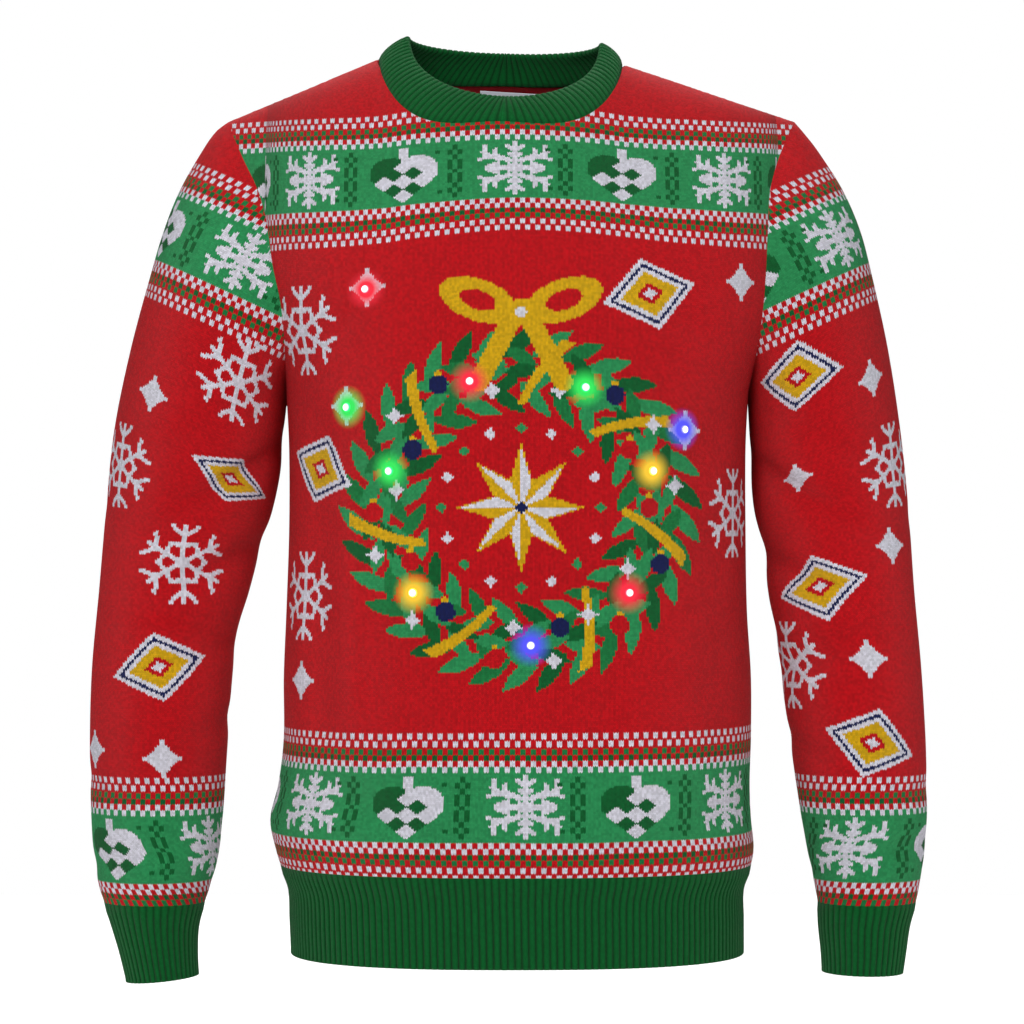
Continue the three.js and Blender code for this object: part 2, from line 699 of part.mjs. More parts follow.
function cuffGeometry(side, sleevePiece) {
  const lastRing = sleevePiece.outer.length - 1;
  const lower = (point) => new THREE.Vector3(point.x, point.y, point.z - SEAM_GAP);
  const edgeOuter = sleevePiece.outer[lastRing].map(lower);
  const edgeInner = sleevePiece.inner[lastRing].map(lower);
  const turnOf = (share) => (2 * Math.PI * share) / RING_SEGMENTS;
  const rowPoint = (row, share) => ringPoint(CUFF_RINGS[row], turnOf(share), side);
  const inwardAt = (row, share) => {
    const turn = turnOf(share);
    return new THREE.Vector3(-signOf(side) * Math.cos(turn), Math.sin(turn), 0);
  };
  return ribbedBand(edgeOuter, edgeInner, 2, rowPoint, inwardAt);
}

function neckbandGeometry() {
  const loop = necklineLoop();
  const turnOf = (share) => (Math.PI * share) / NECK_COLUMNS;
  const edgeOuter = [];
  const edgeInner = [];
  for (let i = 0; i < loop.length; i += 1) {
    const rise = bandTopPoint(turnOf(i)).sub(loop[i]).normalize();
    const start = moved(loop[i], rise, SEAM_GAP);
    edgeOuter.push(start);
    edgeInner.push(moved(start, neckInward(turnOf(i), loop[i]), WALL));
  }
  const inwardAt = (_, share) => neckInward(turnOf(share), loopAt(loop, share));
  const rowPoint = (row, share) => {
    const first = Math.floor(share);
    const straight = loop[first].clone().lerp(loop[(first + 1) % loop.length], share - first);
    const { height, bulge } = BAND_ROWS[row];
    const start = straight.lerp(loopAt(loop, share), height);
    const plain = start.lerp(bandTopPoint(turnOf(share)), height);
    return moved(plain, inwardAt(row, share), -bulge);
  };
  return ribbedBand(edgeOuter, edgeInner, BAND_ROWS.length - 1, rowPoint, inwardAt);
}

// A light's lens, standing on the front's outer points.
function lensGeometry(x, z) {
  const base = clothPoint(x, z, "front");
  const step = 2 * SLOPE_STEP;
  const across = clothPoint(x + step, z, "front").sub(clothPoint(x - step, z, "front"));
  const up = clothPoint(x, z + step, "front").sub(clothPoint(x, z - step, "front"));
  const outward = new THREE.Vector3().crossVectors(across, up).normalize();
  if (outward.y > 0) outward.negate();
  const right = across.normalize();
  const above = new THREE.Vector3().crossVectors(outward, right).normalize();
  const foot = moved(base, outward, LENS_SEAT);
  const points = [foot, moved(foot, outward, LENS_HEIGHT)];
  for (const level of LENS_PROFILE) {
    for (let i = 0; i < LENS_SIDES; i += 1) {
      const turn = (2 * Math.PI * i) / LENS_SIDES;
      const point = moved(foot, outward, LENS_HEIGHT * level.height);
      point.addScaledVector(right, LENS_RADIUS * level.radius * Math.cos(turn));
      point.addScaledVector(above, LENS_RADIUS * level.radius * Math.sin(turn));
      points.push(point);
    }
  }
  const at = (level, i) => 2 + level * LENS_SIDES + (i % LENS_SIDES);
  const highest = LENS_PROFILE.length - 1;
  const triangles = [];
  for (let i = 0; i < LENS_SIDES; i += 1) {
    triangles.push(0, at(0, i + 1), at(0, i));
    for (let level = 0; level < highest; level += 1) {
      triangles.push(at(level, i), at(level, i + 1), at(level + 1, i + 1));
      triangles.push(at(level, i), at(level + 1, i + 1), at(level + 1, i));
    }
    triangles.push(at(highest, i), at(highest, i + 1), 1);
  }
  return facingOut(points, triangles);
}

// A place on the label, moved inwards from the back's outer points.
function labelPoint(x, z, inside) {
  const above = clothPoint(x, z + SLOPE_STEP / 2, "back");
  const below = clothPoint(x, z - SLOPE_STEP / 2, "back");
  const down = below.sub(above);
  const inward = new THREE.Vector3(0, down.z, -down.y).normalize();
  return moved(clothPoint(x, z, "back"), inward, WALL + LABEL.gap + inside);
}

function labelGeometry() {
  const grid = (inside) => {
    const rows = [];
    for (let row = 0; row <= LABEL_ROWS; row += 1) {
      const z = lerp(LABEL.bottom, LABEL.top, row / LABEL_ROWS);
      const line = [];
      for (let column = 0; column <= LABEL_COLUMNS; column += 1) {
        line.push(labelPoint(LABEL.x + LABEL.width * (column / LABEL_COLUMNS - 0.5), z, inside));
      }
      rows.push(line);
    }
    return rows;
  };
  return wallGeometry(grid(0), grid(LABEL.wall), false);
}

function fabric(colour, roughness) {
  return new THREE.MeshStandardMaterial({ color: colour, roughness, metalness: 0 });
}

function piece(name, geometry, material) {
  const mesh = new THREE.Mesh(geometry, material);
  mesh.name = name;
  return mesh;
}

function lightPlaces() {
  const onWreath = WREATH_LIGHTS.map(({ colour, turn }) => ({
    colour,
    x: WREATH.x + WREATH.radius * Math.sin((turn * Math.PI) / 180),
    z: WREATH.z + WREATH.radius * Math.cos((turn * Math.PI) / 180),
  }));
  return [...STAR_LIGHTS, ...onWreath];
}

function jumper() {
  const group = new THREE.Group();
  const red = fabric(KNIT.red, KNIT_ROUGHNESS);
  const green = fabric(KNIT.green, KNIT_ROUGHNESS);
  const front = panel("front");
  const back = panel("back");
  group.add(piece("front", front.geometry, red));
  group.add(piece("back", back.geometry, red));
  for (const side of ["left", "right"]) {
    const arm = sleeve(side);
    group.add(piece(`sleeve_${side}`, arm.geometry, red));
    group.add(piece(`cuff_${side}`, cuffGeometry(side, arm), green));
  }
  group.add(piece("hem_rib", hemGeometry(front, back), green));
  group.add(piece("neckband", neckbandGeometry(), green));
  group.add(piece("neck_label", labelGeometry(), fabric(KNIT.label, LABEL.roughness)));
  lightPlaces().forEach(({ colour, x, z }, i) => {
    const clear = { color: LIGHT[colour], roughness: LENS_ROUGHNESS };
    const lens = new THREE.MeshStandardMaterial(clear);
    group.add(piece(`light_${i + 1}_${colour}`, lensGeometry(x, z), lens));
  });
  return group;
}

export default jumper();
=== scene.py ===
# %% [markdown]
# A knitted Christmas jumper, filled out as a wearer fills it.
#
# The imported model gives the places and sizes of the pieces. This script makes each of them again
# as fine knitted cloth: the panels and sleeves as thin shells with one small face for every two
# stitches by three rows, the ribbed edges as real ribs, and the lights as lit lenses.
# Heights and places are in millimetres until a mesh is made.

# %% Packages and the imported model
import math

import bpy
import numpy as np
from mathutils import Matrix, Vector


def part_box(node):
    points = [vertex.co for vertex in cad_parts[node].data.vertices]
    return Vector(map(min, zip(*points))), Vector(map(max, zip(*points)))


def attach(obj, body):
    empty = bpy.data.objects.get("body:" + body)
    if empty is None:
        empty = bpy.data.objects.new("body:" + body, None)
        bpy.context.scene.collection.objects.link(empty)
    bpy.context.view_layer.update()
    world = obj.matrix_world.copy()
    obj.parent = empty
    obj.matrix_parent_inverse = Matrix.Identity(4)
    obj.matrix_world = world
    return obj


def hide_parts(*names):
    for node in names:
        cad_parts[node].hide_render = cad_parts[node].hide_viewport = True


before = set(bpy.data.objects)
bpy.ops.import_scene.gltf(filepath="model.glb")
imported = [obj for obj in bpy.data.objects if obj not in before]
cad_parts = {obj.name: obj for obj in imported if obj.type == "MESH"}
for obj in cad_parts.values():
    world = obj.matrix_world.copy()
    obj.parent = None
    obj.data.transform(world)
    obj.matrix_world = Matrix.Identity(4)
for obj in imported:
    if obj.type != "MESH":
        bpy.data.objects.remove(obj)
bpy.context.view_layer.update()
MM = 0.001
BODY = "root"

# %% [markdown]
# The camera comes first, so that every later look is at the same picture. It stands level with
# the middle of the jumper, 2.8 m in front of it, and its lens is long, as for clothes in a shop
# picture. The lens follows from the width that the picture covers at the side seams.

# %% Camera
CAMERA_BACK = 2.8
CAMERA_SIDE = 0.0015
CAMERA_HEIGHT = -0.3375
PICTURE_WIDTH = 0.768
SENSOR = 36.0

camera_data = bpy.data.cameras.new("picture_camera")
camera_data.sensor_width = SENSOR
camera_data.lens = SENSOR * CAMERA_BACK / PICTURE_WIDTH
camera = bpy.data.objects.new("picture_camera", camera_data)
camera.location = (CAMERA_SIDE, -CAMERA_BACK, CAMERA_HEIGHT)
camera.rotation_euler = (math.pi / 2, 0, 0)
bpy.context.scene.collection.objects.link(camera)
bpy.context.scene.camera = camera
print("Lens", round(camera_data.lens, 1), "mm")

# %% [markdown]
# The cut. These are the jumper's driving sizes: how wide and how deep it is at each height, where
# the neck, shoulders and armholes lie, and the rings of the sleeves. Left and right are those of
# the picture. A jumper could be modelled by pulling points by hand, but worn cloth is a smooth
# hollow form, so short tables and one curve through them give a truer surface.

# %% Sizes of the body
HEM_TOP = -599
HEM_BOTTOM = -662
UNDERARM = -250
NECK_CENTRE = -7
NECK_HALF = 91
NECK_POINT = {"left": 2, "right": -2}
SHOULDER_POINT = {"left": (211, -45), "right": (213, -45)}
NECK_REACH = {"front": 84.5, "back": 62}
NECK_POWER = {"front": 3.0, "back": 2.6}
NECK_ARCH_RISE = {"front": 45, "back": 16}
SECTION_POWER = 2.5
ARCH_START = {"front": -330, "back": -262}
ARCH_POWER = {"front": 2, "back": 2.4}
ARMHOLE_ROUNDING = 24
ARMHOLE_ROUNDING_RISE = 90

BODY_OUTLINE = {
    "z": [-662, -640, -618, -604, -588, -566, -540, -505, -460, -410, -350, -290, -250],
    "left": [163, 164, 165, 170, 175, 179, 173, 169, 169, 167, 165, 165, 167],
    "right": [174, 174, 174, 179, 182, 180, 179, 180, 180, 177, 176, 176, 178],
}
ARMHOLE_OUTLINE = {
    "z": [-250, -212, -184, -156, -124, -100, -73, -45],
    "left": [167, 166, 168, 174, 179, 186, 199, 211],
    "right": [178, 183, 186, 188, 190, 192, 200, 213],
}
BODY_DEPTH = {
    "z": [-662, -618, -595, -566, -500, -400, -250, -150, -50, 10],
    "front": [128, 130, 137, 142, 139, 137, 138, 133, 125, 124],
    "back": [112, 114, 120, 121, 114, 108, 116, 120, 118, 118],
}

# %% Sizes of the sleeves
SLEEVE_OUTER = {
    "z": [-45, -52, -66, -96, -126, -156, -216, -276, -336, -396, -456, -516, -576, -606, -627,
          -645, -665, -685],
    "left": [211, 220, 230, 247, 259, 268, 284, 296, 302, 307, 312, 313, 311, 308, 302,
             296, 290, 285],
    "right": [213, 219, 230, 249, 262, 270, 283, 292, 298, 302, 307, 310, 310, 306, 302,
              297, 294, 291],
}
SLEEVE_INNER = {
    "z": [-250, -276, -306, -336, -366, -396, -426, -456, -516, -576, -606, -627,
          -645, -665, -685],
    "left": [167, 169.5, 172, 178, 187, 195, 203, 207, 211, 215, 220, 227, 232, 233, 232],
    "right": [178, 179.5, 180.5, 183, 190, 193, 198, 202, 210, 219, 225, 229, 230, 232, 233],
}
# Each ring joins a height of the outer edge to one of the inner edge. "round" is its depth
# against its width, "forward" how far the arm lies to the front.
SLEEVE_RINGS = {
    "outer": [-45, -54, -72, -102, -142, -188, -238, -288, -338, -388, -434, -482, -530, -570,
              -598, -615, -627],
    "inner": [-250, -254, -260, -269, -282, -298, -319, -344, -373, -406, -443, -486, -531, -570,
              -598, -615, -627],
    "round": [0.66, 0.67, 0.7, 0.76, 0.84, 0.92, 0.98, 1.02, 1.04, 1.04, 1.03, 1.02, 1.02, 1.02,
              1.02, 1.02, 1.02],
    "forward": [0, 0, 0, 0, 0, 1, 2, 4, 6, 8, 11, 14, 17, 19, 20, 21, 21],
}
SLEEVE_HEAD_RINGS = 5
CUFF_TOP = -627

# %% [markdown]
# Folds. A worn jumper pulls from the underarms and settles above its ribbed edges. Each fold is a
# soft trough (or ridge, where its rise is above 0) along a line from one place to another. The
# large ones are those of the imported model; the small ones are laid between them, uneven
# in length, width and depth. Cloth simulation would also crease the cloth, but not where the
# picture shows it.

# %% Folds of the body: x, z, to x, to z, width, rise
FOLD_END = 26
LARGE_FOLDS = {
    "front": [
        (-141, -300, -137, -486, 13, -8), (-119, -330, -117, -470, 12, 3.5),
        (-152, -262, -96, -322, 13, -4.5), (163, -266, 112, -338, 14, -5),
        (148, -372, 156, -548, 15, -5), (-158, -520, -96, -556, 12, -4.5),
        (160, -556, 92, -578, 11, -4),
    ],
    "back": [
        (-150, -268, -82, -330, 15, -5), (158, -272, 96, -322, 14, -5.5),
        (-104, -392, 66, -424, 19, -6), (-40, -450, 112, -484, 17, -4.5),
        (-146, -466, -134, -560, 14, -5), (142, -420, 150, -572, 14, -6),
    ],
}
SMALL_FOLDS = {
    "front": [
        (-160, -228, -126, -206, 9, -2.2), (168, -232, 138, -208, 10, -2),
        (-158, -300, -112, -352, 9, 2), (166, -300, 128, -352, 9, 1.8),
        (-150, -402, -120, -438, 10, -2.2), (162, -436, 136, -474, 9, -2),
        (-84, -560, -20, -574, 8, -1.8), (10, -566, 74, -560, 9, -1.6),
        (-162, -486, -128, -508, 8, 1.8), (124, -516, 168, -530, 9, -2),
        (-60, -500, -22, -548, 12, -1.4), (70, -476, 58, -540, 12, -1.3),
        (-166, -340, -150, -376, 7, -2),
    ],
    "back": [
        (-156, -226, -118, -200, 10, -2.4), (160, -228, 128, -206, 9, -2),
        (-120, -300, -40, -344, 12, -2), (134, -350, 60, -372, 11, -2.4),
        (-150, -352, -128, -420, 9, 2), (-96, -500, -30, -530, 11, -2.2),
        (20, -540, 104, -556, 10, -2.4), (-150, -566, -90, -580, 8, -1.8),
        (0, -300, 6, -380, 16, -1.6), (60, -250, 90, -290, 11, -1.5),
    ],
}

# %% Folds of the sleeves: z, facing, slant, width, rise
# They face outwards at 0 degrees, to the front at 90 and to the body at 180.
SLEEVE_FOLDS = {
    "left": [
        (-378, 128, 22, 11, -6), (-424, 120, -14, 10, -6), (-404, 250, 16, 12, -5),
        (-592, 60, 8, 9, -4.5), (-314, 126, 34, 12, -7),
        (-350, 70, -20, 8, -1.8), (-452, 96, 18, 9, -2), (-498, 150, 14, 9, -2.4),
        (-540, 40, -12, 9, -1.6), (-606, 130, -6, 6, -2), (-560, 250, 12, 8, -2.2),
        (-270, 100, 30, 10, -1.8), (-468, 280, -18, 10, -2.6), (-610, 290, 7, 7, -2.2),
    ],
    "right": [
        (-386, 126, 20, 11, -6), (-440, 118, -16, 11, -6), (-410, 245, 18, 12, -5),
        (-588, 70, -9, 9, -4.5), (-322, 124, 30, 12, -7),
        (-356, 62, -18, 9, -1.8), (-470, 90, 16, 9, -2), (-512, 148, 13, 9, -2.4),
        (-548, 50, -10, 9, -1.6), (-608, 126, 6, 6, -2), (-566, 255, 12, 8, -2.2),
        (-282, 96, 28, 10, -1.8), (-474, 282, -16, 10, -2.6), (-606, 288, -7, 7, -2.2),
    ],
}


# %% Curves through the tables
def ease(share):
    share = np.clip(share, 0, 1)
    return share * share * (3 - 2 * share)


def lerp(start, end, share):
    return start + (end - start) * share


def along(table, column, z):
    """The value of one column at heights z, on a smooth curve through the table's rows."""
    order = np.argsort(table["z"])
    heights = np.array(table["z"], float)[order]
    values = np.array(table[column], float)[order]
    last = len(heights) - 1
    before = np.maximum(np.arange(last + 1) - 1, 0)
    after = np.minimum(np.arange(last + 1) + 1, last)
    slope = (values[after] - values[before]) / (heights[after] - heights[before])
    z = np.clip(z, heights[0], heights[-1])
    at = np.clip(np.searchsorted(heights, z) - 1, 0, last - 1)
    step = heights[at + 1] - heights[at]
    share = (z - heights[at]) / step
    rise = values[at + 1] - values[at]
    early = slope[at] * step - rise
    late = rise - slope[at + 1] * step
    return values[at] + rise * share + share * (1 - share) * lerp(early, late, share)


def half_width(x, z, closing=False):
    """Half width of the body at heights z, on the side of x. The closing one goes somewhat past
    the armhole, to where the section of the cloth would close."""
    past = ARMHOLE_ROUNDING * ease((z - UNDERARM) / ARMHOLE_ROUNDING_RISE) if closing else 0
    widths = {}
    for side in ("left", "right"):
        above = along(ARMHOLE_OUTLINE, side, z) + past
        widths[side] = np.where(z <= UNDERARM, along(BODY_OUTLINE, side, z), above)
    return np.where(x < 0, widths["left"], widths["right"])


def shoulder_height(x, face):
    """Height where front and back meet over the shoulder, or would over the neck opening."""
    height = np.zeros_like(x)
    for side, sign in (("left", -1), ("right", 1)):
        neck_end = abs(NECK_CENTRE + sign * NECK_HALF)
        point_x, point_z = SHOULDER_POINT[side]
        out = np.clip((np.abs(x) - neck_end) / (point_x - neck_end), 0, 1)
        across = np.clip(np.abs(x - NECK_CENTRE) / NECK_HALF, 0, 1)
        inside = NECK_POINT[side] * across + NECK_ARCH_RISE[face] * (1 - across * across)
        here = np.where(out > 0, lerp(NECK_POINT[side], point_z, out), inside)
        height = np.where((x - NECK_CENTRE < 0) == (sign < 0), here, height)
    return height


# %% [markdown]
# The surface. From the front, a place on the cloth is an x and a z. How far the cloth stands out
# there comes from the body's section, which rounds to the side seams, and from an arch, which
# closes the cloth over the shoulders. The folds are added to that depth.

# %% Surface of the body
def fold_rise(x, z, face):
    total = np.zeros_like(x)
    for from_x, from_z, to_x, to_z, width, rise in LARGE_FOLDS[face] + SMALL_FOLDS[face]:
        run_x, run_z = to_x - from_x, to_z - from_z
        length = math.hypot(run_x, run_z)
        share = ((x - from_x) * run_x + (z - from_z) * run_z) / length ** 2
        past = np.maximum(np.maximum(-share, share - 1), 0) * length
        off = ((x - from_x) * run_z - (z - from_z) * run_x) / length
        total += rise * np.exp(-(off / width) ** 2 - (past / FOLD_END) ** 2)
    return total


def cloth_depth(x, z, face):
    x, z = np.broadcast_arrays(np.asarray(x, float), np.asarray(z, float))
    across = np.clip(np.abs(x) / half_width(x, z, closing=True), 0, 1)
    roundness = (1 - across ** SECTION_POWER) ** (1 / SECTION_POWER)
    start = ARCH_START[face]
    climb = np.clip((z - start) / (shoulder_height(x, face) - start), 0, 1)
    arch = (1 - climb ** ARCH_POWER[face]) ** (1 / ARCH_POWER[face])
    return (along(BODY_DEPTH, face, z) + fold_rise(x, z, face)) * roundness * arch


def cloth_point(x, z, face):
    depth = cloth_depth(x, z, face)
    x, z = np.broadcast_arrays(np.asarray(x, float), np.asarray(z, float))
    return np.stack([x, -depth if face == "front" else depth, z], axis=-1)


def neckline_height(x, face, halvings=36):
    """Height of the neckline's seam, which is a rounded loop seen from above."""
    across = np.clip(np.abs(x - NECK_CENTRE) / NECK_HALF, 0, 1)
    power = NECK_POWER[face]
    reach = NECK_REACH[face] * (1 - across ** power) ** (1 / power)
    low = np.full_like(x, UNDERARM)
    high = shoulder_height(x, face)
    for _ in range(halvings):
        middle = (low + high) / 2
        outside = cloth_depth(x, middle, face) > reach
        low = np.where(outside, middle, low)
        high = np.where(outside, high, middle)
    return (low + high) / 2


# %% [markdown]
# The grid of stitches. Every colour of a jumper is a whole stitch, so the cloth gets a grid of
# stitches and rows that lies on the surface as the real knit does: rows run round, columns run
# up. A face covers two stitches by three rows. Above the underarms the columns go straight on,
# and the panel is cut off at the armholes, the shoulders and the neckline, as the real one is.
# A subdivided sheet would be quicker to make, but its edges would cut through stitches.

# %% Gauge and counts of stitches
CELL_STITCHES = 2
CELL_ROWS = 3
ROW_HEIGHT = 1.4
STITCH_WIDTH = 1.84
SIDE_STITCHES = {"left": 136, "right": 140}
WIDEST_STITCHES = 172
COLUMNS_KEPT_FROM = -200
SPREAD_PAST_SECTION = 0.85
PANEL_LEVELS = 220
PANEL_TOP = 8
CHART_ROWS = 480
SIDES = (("left", -1), ("right", 1))
print("Gauge", round(100 / STITCH_WIDTH), "stitches by", round(100 / ROW_HEIGHT), "rows to 10 cm")


# %% Columns of stitches
# Past this many stitches from the middle the rows go on level to the armhole.
LEVEL_PAST = 76


def section_arc(z, sign, face, samples=140):
    """Places across one side of a section and the length of cloth up to each."""
    edge = float(half_width(np.array(float(sign)), np.array(float(z)), closing=True))
    x = sign * edge * np.sin(np.linspace(0, math.pi / 2, samples))
    y = cloth_depth(x, np.full_like(x, z), face)
    steps = np.hypot(np.diff(x), np.diff(y))
    return np.abs(x), np.concatenate([[0], np.cumsum(steps)])


def panel_surface(face):
    """x and length of cloth above the hem, for columns of stitches at fine levels."""
    stitches = np.arange(-WIDEST_STITCHES, WIDEST_STITCHES + 1, CELL_STITCHES)
    levels = np.linspace(HEM_TOP, PANEL_TOP, PANEL_LEVELS)
    x = np.zeros((PANEL_LEVELS, len(stitches)))
    for side, sign in SIDES:
        mine = (stitches < 0) if sign < 0 else (stitches >= 0)
        count = np.abs(stitches[mine])
        limit = SIDE_STITCHES[side]
        _, underarm_run = section_arc(UNDERARM, sign, face)
        width = underarm_run[-1] / limit
        kept = None
        for level, z in enumerate(levels):
            if kept is not None:
                x[level, mine] = kept
                continue
            places, run = section_arc(z, sign, face)
            if z <= UNDERARM:
                x[level, mine] = sign * np.interp(count / limit * run[-1], run, places)
                continue
            past = np.maximum(count * width - run[-1], 0) * SPREAD_PAST_SECTION
            x[level, mine] = sign * (np.interp(count * width, run, places) + past)
            if z > COLUMNS_KEPT_FROM:
                kept = x[level, mine].copy()
    z = np.repeat(levels[:, None], len(stitches), axis=1)
    y = cloth_depth(x, z, face)
    steps = np.sqrt(np.diff(x, axis=0) ** 2 + np.diff(y, axis=0) ** 2 + np.diff(z, axis=0) ** 2)
    level_from = (np.clip(stitches, -LEVEL_PAST, LEVEL_PAST) - stitches[0]) // CELL_STITCHES
    steps = np.where(levels[1:, None] > UNDERARM, steps[:, level_from], steps)
    run = np.concatenate([np.zeros((1, len(stitches))), np.cumsum(steps, axis=0)])
    return stitches, levels, x, run


# %% [markdown]
# Over the chest the front's rows bow upwards, because the cloth there has further to go. The bow
# is largest at the chest band's lower edge and fades out towards the hem and to both sides.

# %% Rows of stitches
CHEST_LIFT = {"row": [150, 322, 341, 379, 400, 440], "lift": [0, 13, 9.5, 5, 4, 3]}
LIFT_MIDDLE = 8
LIFT_HALF = 57
FINE_ROWS = np.arange(0, CHART_ROWS, 0.5)


def row_lift(rows, stitches, face):
    """How far the chest pushes the front's rows up, in millimetres."""
    if face == "back":
        return np.zeros(np.broadcast_shapes(rows.shape, stitches.shape))
    across = np.exp(-((stitches - LIFT_MIDDLE) / LIFT_HALF) ** 2)
    return np.interp(rows, CHEST_LIFT["row"], CHEST_LIFT["lift"]) * across


def panel_grid(face):
    """Points of the panel at the corners of its cells, with their places in stitches and rows."""
    stitches, levels, x_levels, run = panel_surface(face)
    x_top = x_levels[-1]
    on_neck = np.abs(x_top - NECK_CENTRE) < NECK_HALF
    top = np.where(on_neck, neckline_height(x_top, face), shoulder_height(x_top, face))
    top_run = np.array([np.interp(top[c], levels, run[:, c]) for c in range(len(stitches))])
    row_run = FINE_ROWS[:, None] * ROW_HEIGHT + row_lift(FINE_ROWS[:, None], stitches, face)
    top_row = np.array([np.interp(top_run[c], row_run[:, c], FINE_ROWS)
                        for c in range(len(stitches))])
    rows = int(np.ceil(top_row.max() / CELL_ROWS)) + 1
    shape = (rows, len(stitches))
    x, z, v = np.zeros(shape), np.zeros(shape), np.zeros(shape)
    u = np.repeat(stitches[None, :].astype(float), rows, axis=0)
    wanted = np.arange(rows) * float(CELL_ROWS)
    for c in range(len(stitches)):
        v[:, c] = np.minimum(wanted, top_row[c])
        here = np.interp(v[:, c], FINE_ROWS, row_run[:, c])
        z[:, c] = np.interp(here, run[:, c], levels)
        x[:, c] = np.interp(here, run[:, c], x_levels[:, c])
    for side, sign in SIDES:
        limit = SHOULDER_POINT[side][0]
        x = np.where(x * sign > limit, sign * limit, x)
    cut_at_sides(x, z, u)
    return cloth_point(x, z, face), u, v


# %% Edges of the panels
def cut_at_sides(x, z, u):
    """Moves what lies past the side seam or the armhole onto it, row by row."""
    columns = x.shape[1]
    middle = columns // 2
    for row in range(x.shape[0]):
        room = half_width(x[row], z[row]) - np.abs(x[row])
        for side, sign in SIDES:
            if z[row, middle] <= UNDERARM and z[row].max() <= UNDERARM:
                limit = middle + sign * SIDE_STITCHES[side] // CELL_STITCHES
                outside = np.arange(limit, -1 if sign < 0 else columns, sign)
                x[row, outside] = sign * half_width(np.float64(sign), z[row, limit])
                z[row, outside] = z[row, limit]
                u[row, outside] = sign * SIDE_STITCHES[side]
                continue
            order = np.arange(middle, -1 if sign < 0 else columns, sign)
            past = np.nonzero(room[order] < 0)[0]
            if len(past) == 0:
                continue
            inner, outer = order[past[0] - 1], order[past[0]]
            share = room[inner] / (room[inner] - room[outer])
            height = lerp(z[row, inner], z[row, outer], share)
            edge_u = lerp(u[row, inner], u[row, outer], share)
            outside = order[past[0]:]
            x[row, outside] = sign * half_width(np.float64(sign), height)
            z[row, outside] = height
            u[row, outside] = edge_u


panel_grids = {face: panel_grid(face) for face in ("front", "back")}
print("Rows of cells on the front:", panel_grids["front"][0].shape[0])

# %% [markdown]
# The sleeves. A sleeve is a tube of rings whose first ring is bent to the armhole. Its rows of
# stitches are level at the cuff and lean more and more towards the shoulder, as a set-in
# sleeve's do. So the tube is sampled finely first, and each row of stitches is then found as the
# line where a leaning plane cuts it.

# %% Surface of the sleeves
TILT_AT_SHOULDER = 25
TILT_FROM = -400
TILT_TO = -200
TILT_STEPS = 12
RING_SAMPLES = 260
TURN_SAMPLES = 361
EDGE_SAMPLES = 400


def through_rings(column, place):
    """A smooth curve through one column of the rings, for places counted in rings."""
    table = {"z": list(range(len(SLEEVE_RINGS[column]))), "value": SLEEVE_RINGS[column]}
    return along(table, "value", place)


def ring_point(side, outer, inner, rounding, forward, turn):
    sign = -1 if side == "left" else 1
    far_x = sign * along(SLEEVE_OUTER, side, outer)
    near_x = sign * along(SLEEVE_INNER, side, inner)
    half = np.hypot(far_x - near_x, outer - inner) / 2
    out_x, out_z = (far_x - near_x) / half / 2, (outer - inner) / half / 2
    height = lerp(outer, inner, (1 - np.cos(turn)) / 2)
    rise = np.zeros_like(height)
    for fold_z, facing, slant, width, fold in SLEEVE_FOLDS[side]:
        swing = turn - math.radians(facing)
        off = height - fold_z - slant * np.sin(swing)
        rise += fold * np.maximum(np.cos(swing), 0) ** 2 * np.exp(-(off / width) ** 2)
    reach = (half + rise) * np.cos(turn)
    x = (far_x + near_x) / 2 + out_x * reach
    z = (outer + inner) / 2 + out_z * reach
    y = -(half * rounding + rise) * np.sin(turn) - forward
    return np.stack([x, y, z], axis=-1)


# %% From the armhole to the cuff
def armhole_seam(side, turn):
    """The armhole for turns round it: over the shoulder at 0, at the front at a quarter turn."""
    sign = -1 if side == "left" else 1
    z = lerp(UNDERARM, SHOULDER_POINT[side][1], (1 + np.cos(turn)) / 2)
    x = sign * half_width(np.full_like(z, sign), z)
    front = cloth_point(x, z, "front")
    back = cloth_point(x, z, "back")
    seam = np.where((np.sin(turn) >= 0)[..., None], front, back)
    seam[..., 1] *= np.abs(np.sin(turn)) > 1e-9
    return seam


def sleeve_surface(side):
    place = np.linspace(0, len(SLEEVE_RINGS["outer"]) - 1, RING_SAMPLES)[:, None]
    turn = np.linspace(-math.pi, math.pi, TURN_SAMPLES)[None, :]
    outer, inner, rounding, forward = (through_rings(c, place) for c in SLEEVE_RINGS)
    points = ring_point(side, outer, inner, rounding, forward, turn)
    first = ring_point(side, outer[:1], inner[:1], rounding[:1], forward[:1], turn)[0]
    fade = (1 - np.minimum(place / SLEEVE_HEAD_RINGS, 1)) ** 2
    return points + fade[..., None] * (armhole_seam(side, turn[0]) - first)[None]


# %% Rows of the sleeves
def row_height(side, x, z):
    """Height at which the leaning row of stitches through a place meets the outer edge."""
    sign = -1 if side == "left" else 1
    height = z.copy()
    for _ in range(TILT_STEPS):
        tilt = TILT_AT_SHOULDER * ease((height - TILT_FROM) / (TILT_TO - TILT_FROM))
        across = np.maximum(along(SLEEVE_OUTER, side, height) - sign * x, 0)
        height = z + np.tan(np.radians(tilt)) * across
    return height


